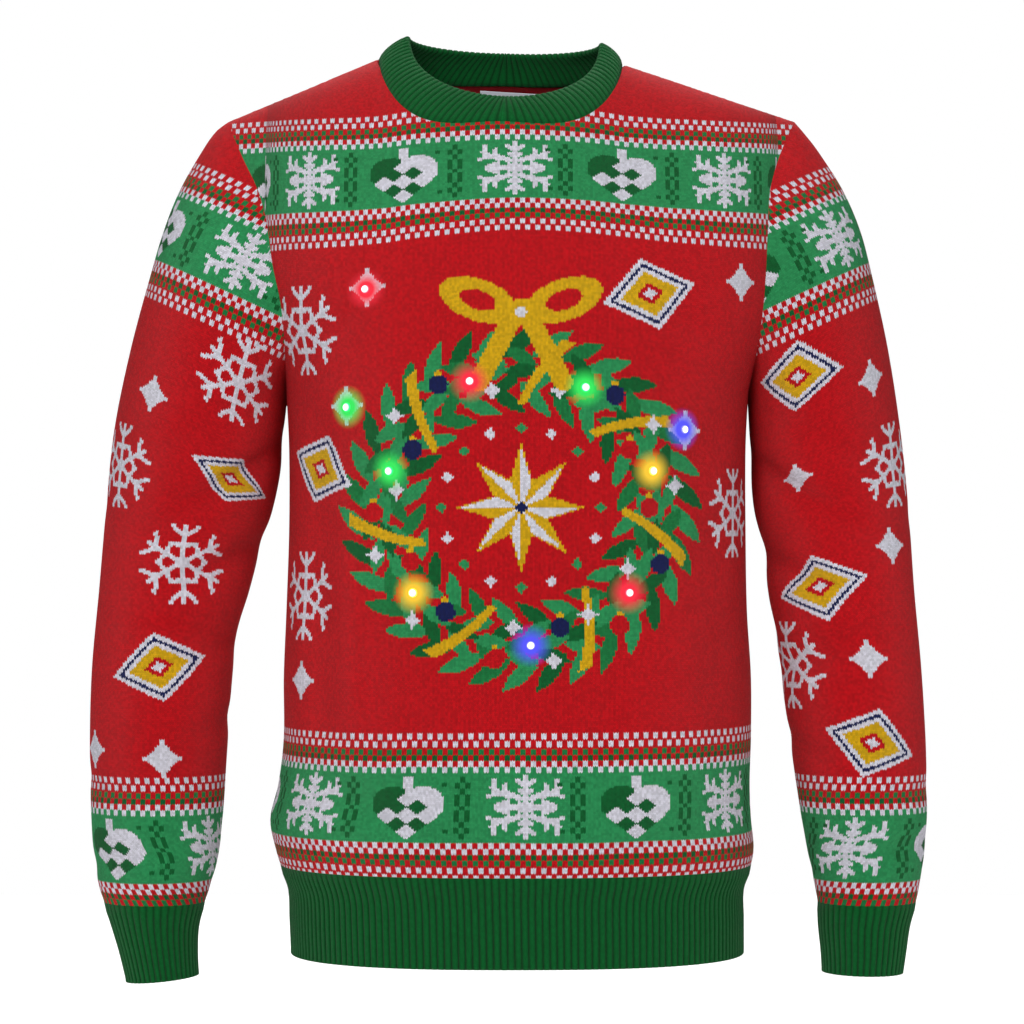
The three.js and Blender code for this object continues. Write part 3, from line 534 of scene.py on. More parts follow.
def sleeve_grid(side):
    points = sleeve_surface(side)
    sign = -1 if side == "left" else 1
    heights = np.linspace(CUFF_TOP, SHOULDER_POINT[side][1], EDGE_SAMPLES)
    edge = along(SLEEVE_OUTER, side, heights)
    edge_run = np.concatenate([[0], np.cumsum(np.hypot(np.diff(edge), np.diff(heights)))])
    row_of = np.interp(row_height(side, points[..., 0], points[..., 2]), heights, edge_run)
    row_of = np.maximum.accumulate(row_of[::-1] / ROW_HEIGHT, axis=0)[::-1]
    rows = int(np.ceil(row_of.max() / CELL_ROWS)) + 1
    middle = TURN_SAMPLES // 2
    half_columns = WIDEST_STITCHES // CELL_STITCHES
    grid = np.zeros((rows, 2 * half_columns + 1, 3))
    u = np.zeros((rows, 2 * half_columns + 1))
    v = np.zeros_like(u)
    for row in range(rows):
        level = min(row * CELL_ROWS, row_of[0, middle] - 1e-3)
        for way in (-1, 1):
            turns = np.arange(middle, -1 if way < 0 else TURN_SAMPLES, way)
            seam_rows = row_of[0, turns]
            line = []
            for t in turns:
                if row_of[0, t] < level:
                    break
                line.append([np.interp(-level, -row_of[:, t], points[:, t, k]) for k in range(3)])
            if len(line) < len(turns):
                n = len(line)
                share = (seam_rows[n - 1] - level) / max(seam_rows[n - 1] - seam_rows[n], 1e-9)
                line.append(list(lerp(points[0, turns[n - 1]], points[0, turns[n]], share)))
            line = np.array(line)
            run = np.concatenate([[0], np.cumsum(np.linalg.norm(np.diff(line, axis=0), axis=1))])
            count = np.arange(half_columns + 1) * CELL_STITCHES
            at = np.minimum(count * STITCH_WIDTH, run[-1])
            target = half_columns + way * np.arange(half_columns + 1)
            grid[row, target] = np.stack([np.interp(at, run, line[:, k]) for k in range(3)], -1)
            u[row, target] = way * at / STITCH_WIDTH
        v[row] = level
    return grid, u, v


sleeve_grids = {side: sleeve_grid(side) for side in ("left", "right")}
print("Rows of cells on a sleeve:", sleeve_grids["left"][0].shape[0])

# %% [markdown]
# The colour chart. Knitters chart a jumper on squared paper, one square a stitch. Here a chart is
# an array of small whole numbers, one for each colour of yarn, painted by short functions: the
# bands, borders, stars and snowflakes are rules, so no picture is needed.

# %% Yarns and charts
RED, GREEN, WHITE, DARK, GOLD, NAVY, LEAF, WINE = range(8)
FAR_OFF = 1e6


class Chart:
    """Colours of the stitches of one piece, with the place of each stitch on the cloth."""

    def __init__(self, grid, u, v):
        columns = 2 * WIDEST_STITCHES
        self.cells = np.full((CHART_ROWS, columns), RED)
        self.u, self.v = np.meshgrid(
            np.arange(columns) - WIDEST_STITCHES + 0.5, np.arange(CHART_ROWS) + 0.5
        )
        row = np.clip(self.v / CELL_ROWS, 0, grid.shape[0] - 1.001)
        column = (self.u + WIDEST_STITCHES) / CELL_STITCHES
        r, c = row.astype(int), column.astype(int)
        down, side = (row - r)[..., None], (column - c)[..., None]
        low = lerp(grid[r, c], grid[r, c + 1], side)
        high = lerp(grid[r + 1, c], grid[r + 1, c + 1], side)
        self.place = lerp(low, high, down)
        self.on_cloth = self.v < v.max()

    def paint(self, mask, yarn):
        self.cells[mask] = yarn

    def nearest(self, x, z, face="front"):
        """Stitch and row at a place seen from the front, or from the back."""
        off = (self.place[..., 0] - x) ** 2 + (self.place[..., 2] - z) ** 2
        hidden = self.place[..., 1] > 0 if face == "front" else self.place[..., 1] < 0
        off = off + FAR_OFF * (hidden | ~self.on_cloth)
        row, column = np.unravel_index(np.argmin(off), off.shape)
        return float(round(self.u[row, column])), float(round(self.v[row, column]))


charts = {face: Chart(*panel_grids[face]) for face in panel_grids}
for arm in sleeve_grids:
    charts["sleeve_" + arm] = Chart(*sleeve_grids[arm])
print("Charts of", charts["front"].cells.shape, "rows and stitches")

# %% [markdown]
# The bands. A band is a green field between two borders of small checks, each two stitches wide.
# On the field, a snowflake, a braid, a woven heart and a braid repeat every 88 stitches.

# %% Borders
CHECK_WIDTH = 2
CHECK_ROWS = 3
FIELD_ROWS = 36
# Yarn, rows and phase of each line of checks, counted away from the field. A line without yarn
# is plain.
LOWER_BORDER = [(WHITE, 3, 0), (WHITE, 3, 1), (DARK, 3, 0), (LEAF, 3, 1), (None, 1, 0),
                (WHITE, 3, 0), (None, 1, 0), (WHITE, 3, 1)]
UPPER_BORDER = [(WHITE, 3, 1), (WHITE, 3, 0), (DARK, 3, 1), (LEAF, 3, 0), (None, 1, 0),
                (WHITE, 3, 1), (None, 1, 0), (WHITE, 3, 0)]


def checks(chart, first_row, rows, phase, yarn):
    across = np.floor(chart.u / CHECK_WIDTH) + phase
    inside = (chart.v > first_row) & (chart.v < first_row + rows)
    chart.paint(inside & (across % 2 == 0), yarn)


def band_borders(chart, field):
    chart.paint((chart.v > field) & (chart.v < field + FIELD_ROWS + CHECK_ROWS), GREEN)
    row = field
    for yarn, rows, phase in LOWER_BORDER:
        row -= rows
        if yarn is not None:
            checks(chart, row, rows, phase, yarn)
    row = field + FIELD_ROWS
    for yarn, rows, phase in UPPER_BORDER:
        if yarn is not None:
            checks(chart, row, rows, phase, yarn)
        row += rows


# %% [markdown]
# The motifs. A snowflake is a few strokes in one quarter, mirrored into the other three. A woven
# heart is a three by three chequer turned on its corner, with a round lobe on each upper side.

# %% Strokes and snowflakes
BAND_FLAKE_HALF = (14.5, 16.0)
BAND_FLAKE_STROKES = [
    (0, 0, 0, 1, 1.1), (0, 0.66, 0.22, 0.86, 0.95), (0, 0.4, 0.14, 0.52, 0.95),
    (0, 0, 0.86, 0.6, 1.15), (0.84, 0.4, 0.84, 0.84, 1.0), (0.52, 0.38, 0.52, 0.72, 1.0),
    (0.62, 0.42, 1, 0.36, 0.95), (0.1, 0.26, 0.44, 0.44, 1.1), (0.58, 0, 0.7, 0, 2.3),
    (0.44, 0.2, 0.6, 0.08, 1.2), (0, 0, 0.6, 0, 1.3), (0, 0, 0.14, 0.04, 1.9),
]
BAND_FLAKE_HOLES = [(0.3, 0.17, 0.32, 0.2, 1.2)]
THIN_FLAKE_RADIUS = 31
THIN_FLAKE_ARMS = range(30, 390, 60)
THIN_FLAKE_REACH = 1.2
THIN_FLAKE_HALF_WIDTH = 1.7
THIN_FLAKE_STROKES = [(0, 0, 1, 0), (0.45, 0, 0.5, 0.29), (0.7, 0, 0.98, 0.3)]


def near_stroke(x, y, stroke, half_width_of_stroke):
    x1, y1, x2, y2 = stroke
    run_x, run_y = x2 - x1, y2 - y1
    share = ((x - x1) * run_x + (y - y1) * run_y) / (run_x ** 2 + run_y ** 2)
    share = np.clip(share, 0, 1)
    off = np.hypot(x - x1 - share * run_x, y - y1 - share * run_y)
    return off < half_width_of_stroke


def band_flake(chart, u, v):
    across, up = np.abs(chart.u - u), np.abs(chart.v - v)
    half_u, half_v = BAND_FLAKE_HALF
    for x1, y1, x2, y2, width in BAND_FLAKE_STROKES:
        stroke = (x1 * half_u, y1 * half_v, x2 * half_u, y2 * half_v)
        chart.paint(near_stroke(across, up, stroke, width), WHITE)
    for x1, y1, x2, y2, width in BAND_FLAKE_HOLES:
        stroke = (x1 * half_u, y1 * half_v, x2 * half_u, y2 * half_v)
        chart.paint(near_stroke(across, up, stroke, width), GREEN)


def thin_flake(chart, u, v):
    """Six arms, each with its petal and its forked tip, on the real size of stitches."""
    x, y = (chart.u - u) * STITCH_WIDTH, (chart.v - v) * ROW_HEIGHT
    around = np.hypot(x, y) < THIN_FLAKE_RADIUS * THIN_FLAKE_REACH
    for turn in THIN_FLAKE_ARMS:
        angle = math.radians(turn)
        forward = x * math.cos(angle) + y * math.sin(angle)
        aside = np.abs(-x * math.sin(angle) + y * math.cos(angle))
        for stroke in THIN_FLAKE_STROKES:
            full_size = [value * THIN_FLAKE_RADIUS for value in stroke]
            mask = near_stroke(forward, aside, full_size, THIN_FLAKE_HALF_WIDTH)
            chart.paint(mask & around, WHITE)


# %% Hearts, braids, stars and lozenges
HEART_HALF = (4.0, 4.2)
LOBE = 3
LOOP_HALF, LOOP_FROM, LOOP_TO = 2, 12, 20.5
LOOP_TAPER, LOOP_THINNEST = 3, 0.3
BRAID_LEVELS = "CSCSSCSSCSC"
BRAID_STEP = 2.9
BRAID_SIDE = 2
BRAID_CELL = (1.0, 1.4)
BRAID_DOTS = [(-7, 12), (-6, -12)]
DOT_REACH = 1.8
STAR_HALF = (17.5, 17.5)
STAR_POWER = 0.66
LOZENGE_HALF = (37.0, 26.0)
LOZENGE_RINGS = [(1, WHITE), (0.86, NAVY), (0.76, WHITE), (0.62, GOLD), (0.3, RED), (0.16, WHITE)]


def woven_heart(chart, u, v):
    p = (chart.u - u) / HEART_HALF[0]
    q = (chart.v - v) / HEART_HALF[1]
    a, b = p + q, p - q
    woven = (np.abs(a) < LOBE) & (np.abs(b) < LOBE)
    odd = (np.round(a / 2) + np.round(b / 2)) % 2 != 0
    chart.paint((b <= -LOBE) & (a * a + (b + LOBE) ** 2 < LOBE ** 2), DARK)
    chart.paint((a >= LOBE) & ((a - LOBE) ** 2 + b * b < LOBE ** 2), WHITE)
    chart.paint(woven & ~odd, WHITE)
    chart.paint(woven & odd, DARK)
    rise = chart.v - v
    taper = np.clip((rise - LOOP_FROM) / LOOP_TAPER, LOOP_THINNEST, 1)
    loop = (rise > LOOP_FROM) & (rise < LOOP_TO)
    chart.paint(loop & (np.abs(chart.u - u) < LOOP_HALF * taper), WHITE)


def braid(chart, u, v):
    middle = (len(BRAID_LEVELS) - 1) / 2
    for level, kind in enumerate(BRAID_LEVELS):
        height = v + (middle - level) * BRAID_STEP
        for side in ((0,) if kind == "C" else (-BRAID_SIDE, BRAID_SIDE)):
            near = np.abs(chart.u - u - side) < BRAID_CELL[0]
            chart.paint(near & (np.abs(chart.v - height) < BRAID_CELL[1]), DARK)
    for side, rise in BRAID_DOTS:
        plus = np.abs(chart.u - u - side) + np.abs(chart.v - v - rise)
        chart.paint(plus < DOT_REACH, DARK)


def four_point_star(chart, u, v):
    x = np.abs(chart.u - u) * STITCH_WIDTH / STAR_HALF[0]
    y = np.abs(chart.v - v) * ROW_HEIGHT / STAR_HALF[1]
    chart.paint(x ** STAR_POWER + y ** STAR_POWER < 1, WHITE)


def lozenge(chart, u, v, turn):
    x, y = (chart.u - u) * STITCH_WIDTH, (chart.v - v) * ROW_HEIGHT
    angle = math.radians(turn)
    p = np.abs(x * math.cos(angle) + y * math.sin(angle)) / LOZENGE_HALF[0]
    q = np.abs(-x * math.sin(angle) + y * math.cos(angle)) / LOZENGE_HALF[1]
    for size, yarn in LOZENGE_RINGS:
        chart.paint(p + q < size, yarn)


# %% A whole band
BAND_REPEAT = 88
REPEATS_EACH_WAY = 3
FLAKE_RISE = 0.5
BRAIDS_AT = (20, 64)
HEART_AT = 43
HEART_SINK = 4


def band(chart, field, flake_at):
    band_borders(chart, field)
    middle = field + FIELD_ROWS / 2
    for repeat in range(-REPEATS_EACH_WAY, REPEATS_EACH_WAY + 1):
        u = flake_at + BAND_REPEAT * repeat
        band_flake(chart, u, middle + FLAKE_RISE)
        woven_heart(chart, u + HEART_AT, middle - HEART_SINK)
        for place in BRAIDS_AT:
            braid(chart, u + place, middle)


# %% [markdown]
# The middle of the front. It carries a plain festive design: a wreath of leaves with a gold
# ribbon and bow, baubles and small stars, round a traditional eight-pointed knitting star. The
# wreath is laid out on the places of the cloth as seen from the front, so that the packed
# model's lights sit on it.

# %% Wreath and eight-pointed star
WREATH_CENTRE = (8, -335)
WREATH_RADIUS = 98
# Radius, count, half length, half width and lean of each ring of leaves.
LEAF_RINGS = [(119, 34, 18, 5.6, 42), (78, 24, 17, 5.2, -42), (108, 30, 14, 5.2, -30),
              (89, 26, 13, 5.0, 30), (98, 28, 14, 5.2, 4)]
LEAF_YARNS = [DARK, GREEN, LEAF, GREEN]
RIBBON_TURNS = [8, 52, 100, 150, 204, 258, 312]
BAUBLES = [(40, 105, NAVY), (90, 92, RED), (112, 108, NAVY), (162, 90, NAVY), (190, 110, RED),
           (216, 92, NAVY), (268, 106, RED), (298, 88, NAVY), (326, 106, NAVY), (62, 88, RED),
           (140, 110, RED), (244, 88, RED)]
RIBBON_FROM, RIBBON_TO, RIBBON_HALF, RIBBON_SLANT = 73, 124, 4, 0.55
BAUBLE_RADIUS, CAP_RADIUS, CAP_RISE = 7, 2.6, 8
SPARKLE_HALF, SPARKLE_POWER = (8, 9), 0.6
SPARKLES = [(18, 88), (58, 112), (82, 112), (120, 88), (168, 112), (184, 86), (224, 112),
            (252, 110), (278, 90), (306, 112), (346, 86), (148, 90)]


def on_wreath(turn, radius):
    angle = math.radians(turn)
    return (WREATH_CENTRE[0] + radius * math.sin(angle),
            WREATH_CENTRE[1] + radius * math.cos(angle))


def wreath(chart):
    x, z = chart.place[..., 0], chart.place[..., 2]
    for ring, (radius, count, length, width, lean) in enumerate(LEAF_RINGS):
        for leaf in range(count):
            turn = 360 * (leaf + 0.5 * (ring % 2)) / count
            centre = on_wreath(turn, radius)
            angle = math.radians(lean - turn)
            forward = (x - centre[0]) * math.cos(angle) + (z - centre[1]) * math.sin(angle)
            aside = -(x - centre[0]) * math.sin(angle) + (z - centre[1]) * math.cos(angle)
            room = width * (1 - (forward / length) ** 2)
            chart.paint(np.abs(aside) < room, LEAF_YARNS[(leaf + ring) % len(LEAF_YARNS)])
    off_x, off_z = x - WREATH_CENTRE[0], z - WREATH_CENTRE[1]
    radius = np.hypot(off_x, off_z)
    turn = np.degrees(np.arctan2(off_x, off_z)) % 360
    for at in RIBBON_TURNS:
        along_ring = np.radians((turn - at + 180) % 360 - 180) * WREATH_RADIUS
        on_ring = (radius > RIBBON_FROM) & (radius < RIBBON_TO)
        off_ribbon = np.abs(along_ring - RIBBON_SLANT * (radius - WREATH_RADIUS))
        chart.paint(on_ring & (off_ribbon < RIBBON_HALF), GOLD)
    for at, distance, yarn in BAUBLES:
        cx, cz = on_wreath(at, distance)
        chart.paint(np.hypot(x - cx, z - cz - CAP_RISE) < CAP_RADIUS, GOLD)
        chart.paint(np.hypot(x - cx, z - cz) < BAUBLE_RADIUS, yarn)
    for at, distance in SPARKLES:
        cx, cz = on_wreath(at, distance)
        p, q = np.abs(x - cx) / SPARKLE_HALF[0], np.abs(z - cz) / SPARKLE_HALF[1]
        chart.paint(p ** SPARKLE_POWER + q ** SPARKLE_POWER < 1, WHITE)


# %% The bow: places, sizes and leans of its loops, and the ends of its tails
BOW_RISE = 42
BOW_LOOPS = [(-31, 9, 29, 15, 20), (31, 9, 29, 15, -20)]
BOW_HOLE = 0.22
BOW_TAILS = [(-6, -4, -30, -50), (6, -4, 30, -50)]
TAIL_HALF = 7
KNOT_RADIUS = 10
KNOT_EYE = 4


def bow(chart):
    top_x, top_z = WREATH_CENTRE[0], WREATH_CENTRE[1] + WREATH_RADIUS + BOW_RISE
    x, z = chart.place[..., 0] - top_x, chart.place[..., 2] - top_z
    for tail in BOW_TAILS:
        chart.paint(near_stroke(x, z, tail, TAIL_HALF), GOLD)
    for cx, cz, length, height, lean in BOW_LOOPS:
        angle = math.radians(lean)
        p = ((x - cx) * math.cos(angle) - (z - cz) * math.sin(angle)) / length
        q = ((x - cx) * math.sin(angle) + (z - cz) * math.cos(angle)) / height
        chart.paint(p * p + q * q < 1, GOLD)
        chart.paint(p * p + q * q < BOW_HOLE, RED)
    chart.paint(np.hypot(x, z) < KNOT_RADIUS, GOLD)
    chart.paint(np.hypot(x, z) < KNOT_EYE, WHITE)


# %% The eight-pointed star and its ring of dots
ROSE_RADIUS = 46
ROSE_TAPER = 3.3
ROSE_FILL = 0.93
ROSE_EYE = 5
POINT_TURN = 45
DOTS = 16
DOT_RING = 57
DOT_HALF = 4.2


def eight_point_star(chart):
    x = chart.place[..., 0] - WREATH_CENTRE[0]
    z = chart.place[..., 2] - WREATH_CENTRE[1]
    turn = np.degrees(np.arctan2(x, z)) % POINT_TURN
    from_point = np.radians(np.minimum(turn, POINT_TURN - turn))
    reach = ROSE_RADIUS / (np.cos(from_point) + ROSE_TAPER * np.sin(from_point))
    radius = np.hypot(x, z)
    chart.paint(radius < reach, GOLD)
    chart.paint((radius < reach * ROSE_FILL) & (turn < POINT_TURN / 2), WHITE)
    chart.paint(np.abs(x) + np.abs(z) < ROSE_EYE, NAVY)
    for dot in range(DOTS):
        cx, cz = on_wreath(dot * 360 / DOTS, DOT_RING)
        near = np.abs(chart.place[..., 0] - cx) + np.abs(chart.place[..., 2] - cz)
        chart.paint(near < DOT_HALF, WHITE if dot % 2 else GREEN)


# %% [markdown]
# Laying out each piece. Places are real ones in millimetres, seen from the front or the back;
# the chart finds the stitch that lies there. The lone motifs go down first, then the bands.

# %% Layout of the front and back
LOWER_FIELD = 18
CHEST_FIELD_BOTTOM = -113.5
CHEST_FLAKE_X = 4.3
LOWER_FLAKE_X, LOWER_FLAKE_Z = 12.2, HEM_TOP + 50
FRONT_MOTIFS = [
    ("flake", -150, -207), ("flake", -150, -398), ("flake", 163, -338),
    ("star", 168, -170), ("star", -152, -462), ("star", -104, -177), ("star", -117, -262),
    ("star", 125, -278), ("lozenge", 102, -182), ("lozenge", -138, -306),
]
BACK_MOTIFS = [
    ("flake", -112, -205), ("star", -60, -250), ("lozenge", 0, -205), ("star", 62, -245),
    ("flake", 112, -212), ("lozenge", -120, -300), ("flake", -48, -330), ("star", 20, -290),
    ("flake", 60, -372), ("lozenge", 128, -310), ("star", -100, -380), ("star", 122, -400),
    ("lozenge", -40, -420), ("flake", -128, -450), ("flake", 110, -452), ("star", 10, -470),
]
LOZENGE_TURNS = [16, -20, 12, -14]


def lone_motifs(chart, motifs, face):
    for number, (kind, x, z) in enumerate(motifs):
        u, v = chart.nearest(x, z, face)
        if kind == "flake":
            thin_flake(chart, u, v)
        elif kind == "star":
            four_point_star(chart, u, v)
        else:
            lozenge(chart, u, v, LOZENGE_TURNS[number % len(LOZENGE_TURNS)])


def whole_cells(row):
    return CELL_ROWS * round(row / CELL_ROWS)


for face, motifs in (("front", FRONT_MOTIFS), ("back", BACK_MOTIFS)):
    chart = charts[face]
    if face == "front":
        wreath(chart)
        bow(chart)
        eight_point_star(chart)
    lone_motifs(chart, motifs, face)
    flake_u, chest_row = chart.nearest(CHEST_FLAKE_X, CHEST_FIELD_BOTTOM, face)
    band(chart, whole_cells(chest_row), flake_u)
    flake_u, _ = chart.nearest(LOWER_FLAKE_X, LOWER_FLAKE_Z, face)
    band(chart, LOWER_FIELD, flake_u)
    print(face, "chest band from row", whole_cells(chest_row))

# %% Layout of the sleeves
CUFF_FIELD = 12
ARM_FIELD_MIDDLE = -128
SLEEVE_FLAKES = {
    "left": {"arm": (-196, -154), "cuff": (-221, -582)},
    "right": {"arm": (238, -128), "cuff": (249, -578)},
}
SLEEVE_MOTIFS = {
    "left": [
        ("star", -264, -250), ("flake", -200, -243), ("flake", -288, -303), ("star", -255, -518),
        ("flake", -240, -375), ("lozenge", -205, -314), ("lozenge", -256, -452),
        ("star", -306, -512),
    ],
    "right": [
        ("star", 266, -240), ("flake", 283, -302), ("star", 211, -313), ("star", 280, -362),
        ("flake", 210, -450), ("star", 265, -446), ("lozenge", 212, -238), ("lozenge", 229, -394),
        ("lozenge", 266, -506),
    ],
}
SLEEVE_BACK_MOTIFS = [
    ("flake", 230, -300), ("star", 262, -350), ("lozenge", 240, -392), ("flake", 262, -460),
    ("star", 226, -500), ("star", 240, -240), ("lozenge", 282, -262),
]

for side in ("left", "right"):
    chart = charts["sleeve_" + side]
    sign = -1 if side == "left" else 1
    lone_motifs(chart, SLEEVE_MOTIFS[side], "front")
    behind = [(kind, sign * x, z) for kind, x, z in SLEEVE_BACK_MOTIFS]
    lone_motifs(chart, behind, "back")
    outer_x = float(along(SLEEVE_OUTER, side, ARM_FIELD_MIDDLE)) - 1
    _, arm_row = chart.nearest(sign * outer_x, ARM_FIELD_MIDDLE)
    flake_u, _ = chart.nearest(*SLEEVE_FLAKES[side]["arm"])
    band(chart, whole_cells(arm_row - FIELD_ROWS / 2), flake_u)
    flake_u, _ = chart.nearest(*SLEEVE_FLAKES[side]["cuff"])
    band(chart, CUFF_FIELD, flake_u)
    print(side, "sleeve's upper band from row", whole_cells(arm_row - FIELD_ROWS / 2))

# %% [markdown]
# From grid to mesh. Points that were moved onto the same place are made one, and faces that
# vanish are dropped, so the panel's edges are clean. Each face keeps the colours of its own six
# stitches and of the two below it, packed into one number with three bits a stitch. A texture
# could hold them too, but then each piece would need an image.

# %% Colours packed for each face
SAME_PLACE = 1e-3
YARN_COUNT = 8
ROWS_ADDED_ABOVE = 8


def packed_colours(chart, rows, columns):
    above = np.repeat(chart.cells[-1:], ROWS_ADDED_ABOVE, axis=0)
    padded = np.vstack([chart.cells[:1], chart.cells, above])
    total = np.zeros((rows - 1, columns - 1))
    for row in range(CELL_ROWS + 1):
        for column in range(CELL_STITCHES):
            last = row + CELL_ROWS * (rows - 1)
            part = padded[row:last:CELL_ROWS, column::CELL_STITCHES]
            weight = YARN_COUNT ** (column + CELL_STITCHES * row)
            total += part[:rows - 1, :columns - 1] * weight
    return total


# %% Mesh of a piece of cloth
def cloth_mesh(name, grid, u, v, colours=None, flip=False, points=None):
    """A grid as a mesh, with its stitches as the UV map and the given values on its points."""
    rows, columns, _ = grid.shape
    keys = np.round(grid.reshape(-1, 3) / SAME_PLACE).astype(np.int64)
    _, first, merged = np.unique(keys, axis=0, return_index=True, return_inverse=True)
    index = merged.reshape(rows, columns)
    faces, corners, values = [], [], []
    for r in range(rows - 1):
        for c in range(columns - 1):
            ring = [(r, c), (r, c + 1), (r + 1, c + 1), (r + 1, c)]
            if flip:
                ring.reverse()
            kept = [at for i, at in enumerate(ring) if index[at] != index[ring[i - 1]]]
            if len({index[at] for at in kept}) < 3 or len(kept) < 3:
                continue
            faces.append([int(index[at]) for at in kept])
            corners.extend((u[at], v[at]) for at in kept)
            if colours is not None:
                values.append(colours[r, c])
    mesh = bpy.data.meshes.new(name)
    mesh.from_pydata((grid.reshape(-1, 3)[first] * MM).tolist(), [], faces)
    stitches = mesh.uv_layers.new(name="stitches")
    stitches.data.foreach_set("uv", np.array(corners, float).ravel())
    if colours is not None:
        attribute = mesh.attributes.new("yarns", "FLOAT", "FACE")
        attribute.data.foreach_set("value", values)
    for label, wanted in (points or {}).items():
        attribute = mesh.attributes.new(label, "FLOAT", "POINT")
        attribute.data.foreach_set("value", wanted.reshape(-1)[first].astype(float))
    mesh.polygons.foreach_set("use_smooth", [True] * len(mesh.polygons))
    return mesh


# %% From mesh to object
CLOTH_WALL = 0.0021
SMOOTH_UP_TO = 60
ALL_SMOOTH = 180


def new_object(name, mesh):
    thing = bpy.data.objects.new(name, mesh)
    bpy.context.scene.collection.objects.link(thing)
    return thing


def plain_mesh(thing, sharp_angle=SMOOTH_UP_TO):
    """Turns an object's modifiers into a plain mesh, and drops them."""
    bpy.context.view_layer.update()
    depsgraph = bpy.context.evaluated_depsgraph_get()
    mesh = bpy.data.meshes.new_from_object(thing.evaluated_get(depsgraph))
    thing.modifiers.clear()
    thing.data = mesh
    mesh.set_sharp_from_angle(angle=math.radians(sharp_angle))
    return thing


def with_wall(thing, wall=CLOTH_WALL, inside_material=1):
    thicken = thing.modifiers.new("wall", "SOLIDIFY")
    thicken.thickness = wall
    thicken.offset = -1
    thicken.material_offset = inside_material
    return plain_mesh(thing)


# %% [markdown]
# Materials are built from nodes. A few helpers keep the long chains of sums readable: a number or
# a socket can be given to each of them, and each returns the socket of its result.

# %% Helpers for materials
def link_or_set(tree, socket, value):
    if isinstance(value, bpy.types.NodeSocket):
        tree.links.new(value, socket)
    else:
        socket.default_value = value


def math_node(tree, operation, *values, clamp=False):
    node = tree.nodes.new("ShaderNodeMath")
    node.operation = operation
    node.use_clamp = clamp
    for socket, value in zip(node.inputs, values):
        link_or_set(tree, socket, value)
    return node.outputs[0]


def vector_math(tree, operation, *values):
    node = tree.nodes.new("ShaderNodeVectorMath")
    node.operation = operation
    for socket, value in zip(node.inputs, values):
        link_or_set(tree, socket, value)
    return node.outputs["Value" if operation in ("DISTANCE", "LENGTH") else "Vector"]


def map_range(tree, value, low, high, to_low, to_high):
    node = tree.nodes.new("ShaderNodeMapRange")
    for socket, given in zip(node.inputs, (value, low, high, to_low, to_high)):
        link_or_set(tree, socket, given)
    return node.outputs[0]


def mix_colours(tree, share, first, second):
    node = tree.nodes.new("ShaderNodeMix")
    node.data_type = "RGBA"
    for number, value in ((0, share), (6, first), (7, second)):
        link_or_set(tree, node.inputs[number], value)
    return node.outputs[2]


def colour(red, green, blue):
    """A colour as a screen shows it, from 0 to 255, as the shader needs it."""
    def linear(value):
        value /= 255
        return value / 12.92 if value <= 0.04045 else ((value + 0.055) / 1.055) ** 2.4
    return (linear(red), linear(green), linear(blue), 1.0)


def wave(tree, value):
    """How far a value is from whole numbers, as a rounded wave from 0 to 1."""
    turned = math_node(tree, "MULTIPLY", value, math.pi)
    return math_node(tree, "ABSOLUTE", math_node(tree, "SINE", turned))


def scaled(tree, vector, factor):
    node = tree.nodes.new("ShaderNodeVectorMath")
    node.operation = "SCALE"
    link_or_set(tree, node.inputs[0], vector)
    link_or_set(tree, node.inputs["Scale"], factor)
    return node.outputs["Vector"]


# %% Colours and new materials
SHEEN_ROUGHNESS = 0.45


def new_material(name, roughness, sheen=0.0, specular=0.5):
    material = bpy.data.materials.new(name)
    material.use_nodes = True
    shader = material.node_tree.nodes["Principled BSDF"]
    shader.inputs["Roughness"].default_value = roughness
    shader.inputs["Specular IOR Level"].default_value = specular
    shader.inputs["Sheen Weight"].default_value = sheen
    shader.inputs["Sheen Roughness"].default_value = SHEEN_ROUGHNESS
    return material, material.node_tree, shader


# %% [markdown]
# The knit. Plain knitting shows columns of small Vs. The height of a stitch is worked out from
# the stitch coordinates: two legs beside each other, leaning to the column's middle, parted by
# fine grooves. The same leaning line parts the colours of two rows, so a diagonal of the chart
# gets the saw-tooth edge that real colour work has.

# %% Nodes of a stitch
LEG_LEAN = 0.9
YARN_ROUNDNESS = 0.6
YARN_COLOURS = {
    RED: colour(214, 8, 22), GREEN: colour(46, 160, 94), WHITE: colour(242, 240, 252),
    DARK: colour(4, 104, 48), GOLD: colour(238, 186, 14), NAVY: colour(20, 30, 88),
    LEAF: colour(26, 132, 68), WINE: colour(140, 10, 24),
}


def stitch_nodes(tree):
    coordinates = tree.nodes.new("ShaderNodeUVMap")
    coordinates.uv_map = "stitches"
    parts = tree.nodes.new("ShaderNodeSeparateXYZ")
    tree.links.new(coordinates.outputs["UV"], parts.inputs[0])
    u, v = parts.outputs[0], parts.outputs[1]
    across = math_node(tree, "FRACT", u)
    doubled = math_node(tree, "MULTIPLY_ADD", across, 2.0, -1.0)
    aside = math_node(tree, "ABSOLUTE", doubled)
    leaned = math_node(tree, "MULTIPLY_ADD", aside, -LEG_LEAN, v)
    leg = wave(tree, math_node(tree, "MULTIPLY", across, 2.0))
    leg = math_node(tree, "POWER", leg, YARN_ROUNDNESS)
    rise = math_node(tree, "POWER", wave(tree, leaned), YARN_ROUNDNESS)
    height = math_node(tree, "MULTIPLY", leg, math_node(tree, "MULTIPLY_ADD", rise, 0.5, 0.5))
    return {"u": u, "v": v, "height": height,
            "stitch": math_node(tree, "FLOOR", u), "row": math_node(tree, "FLOOR", leaned)}


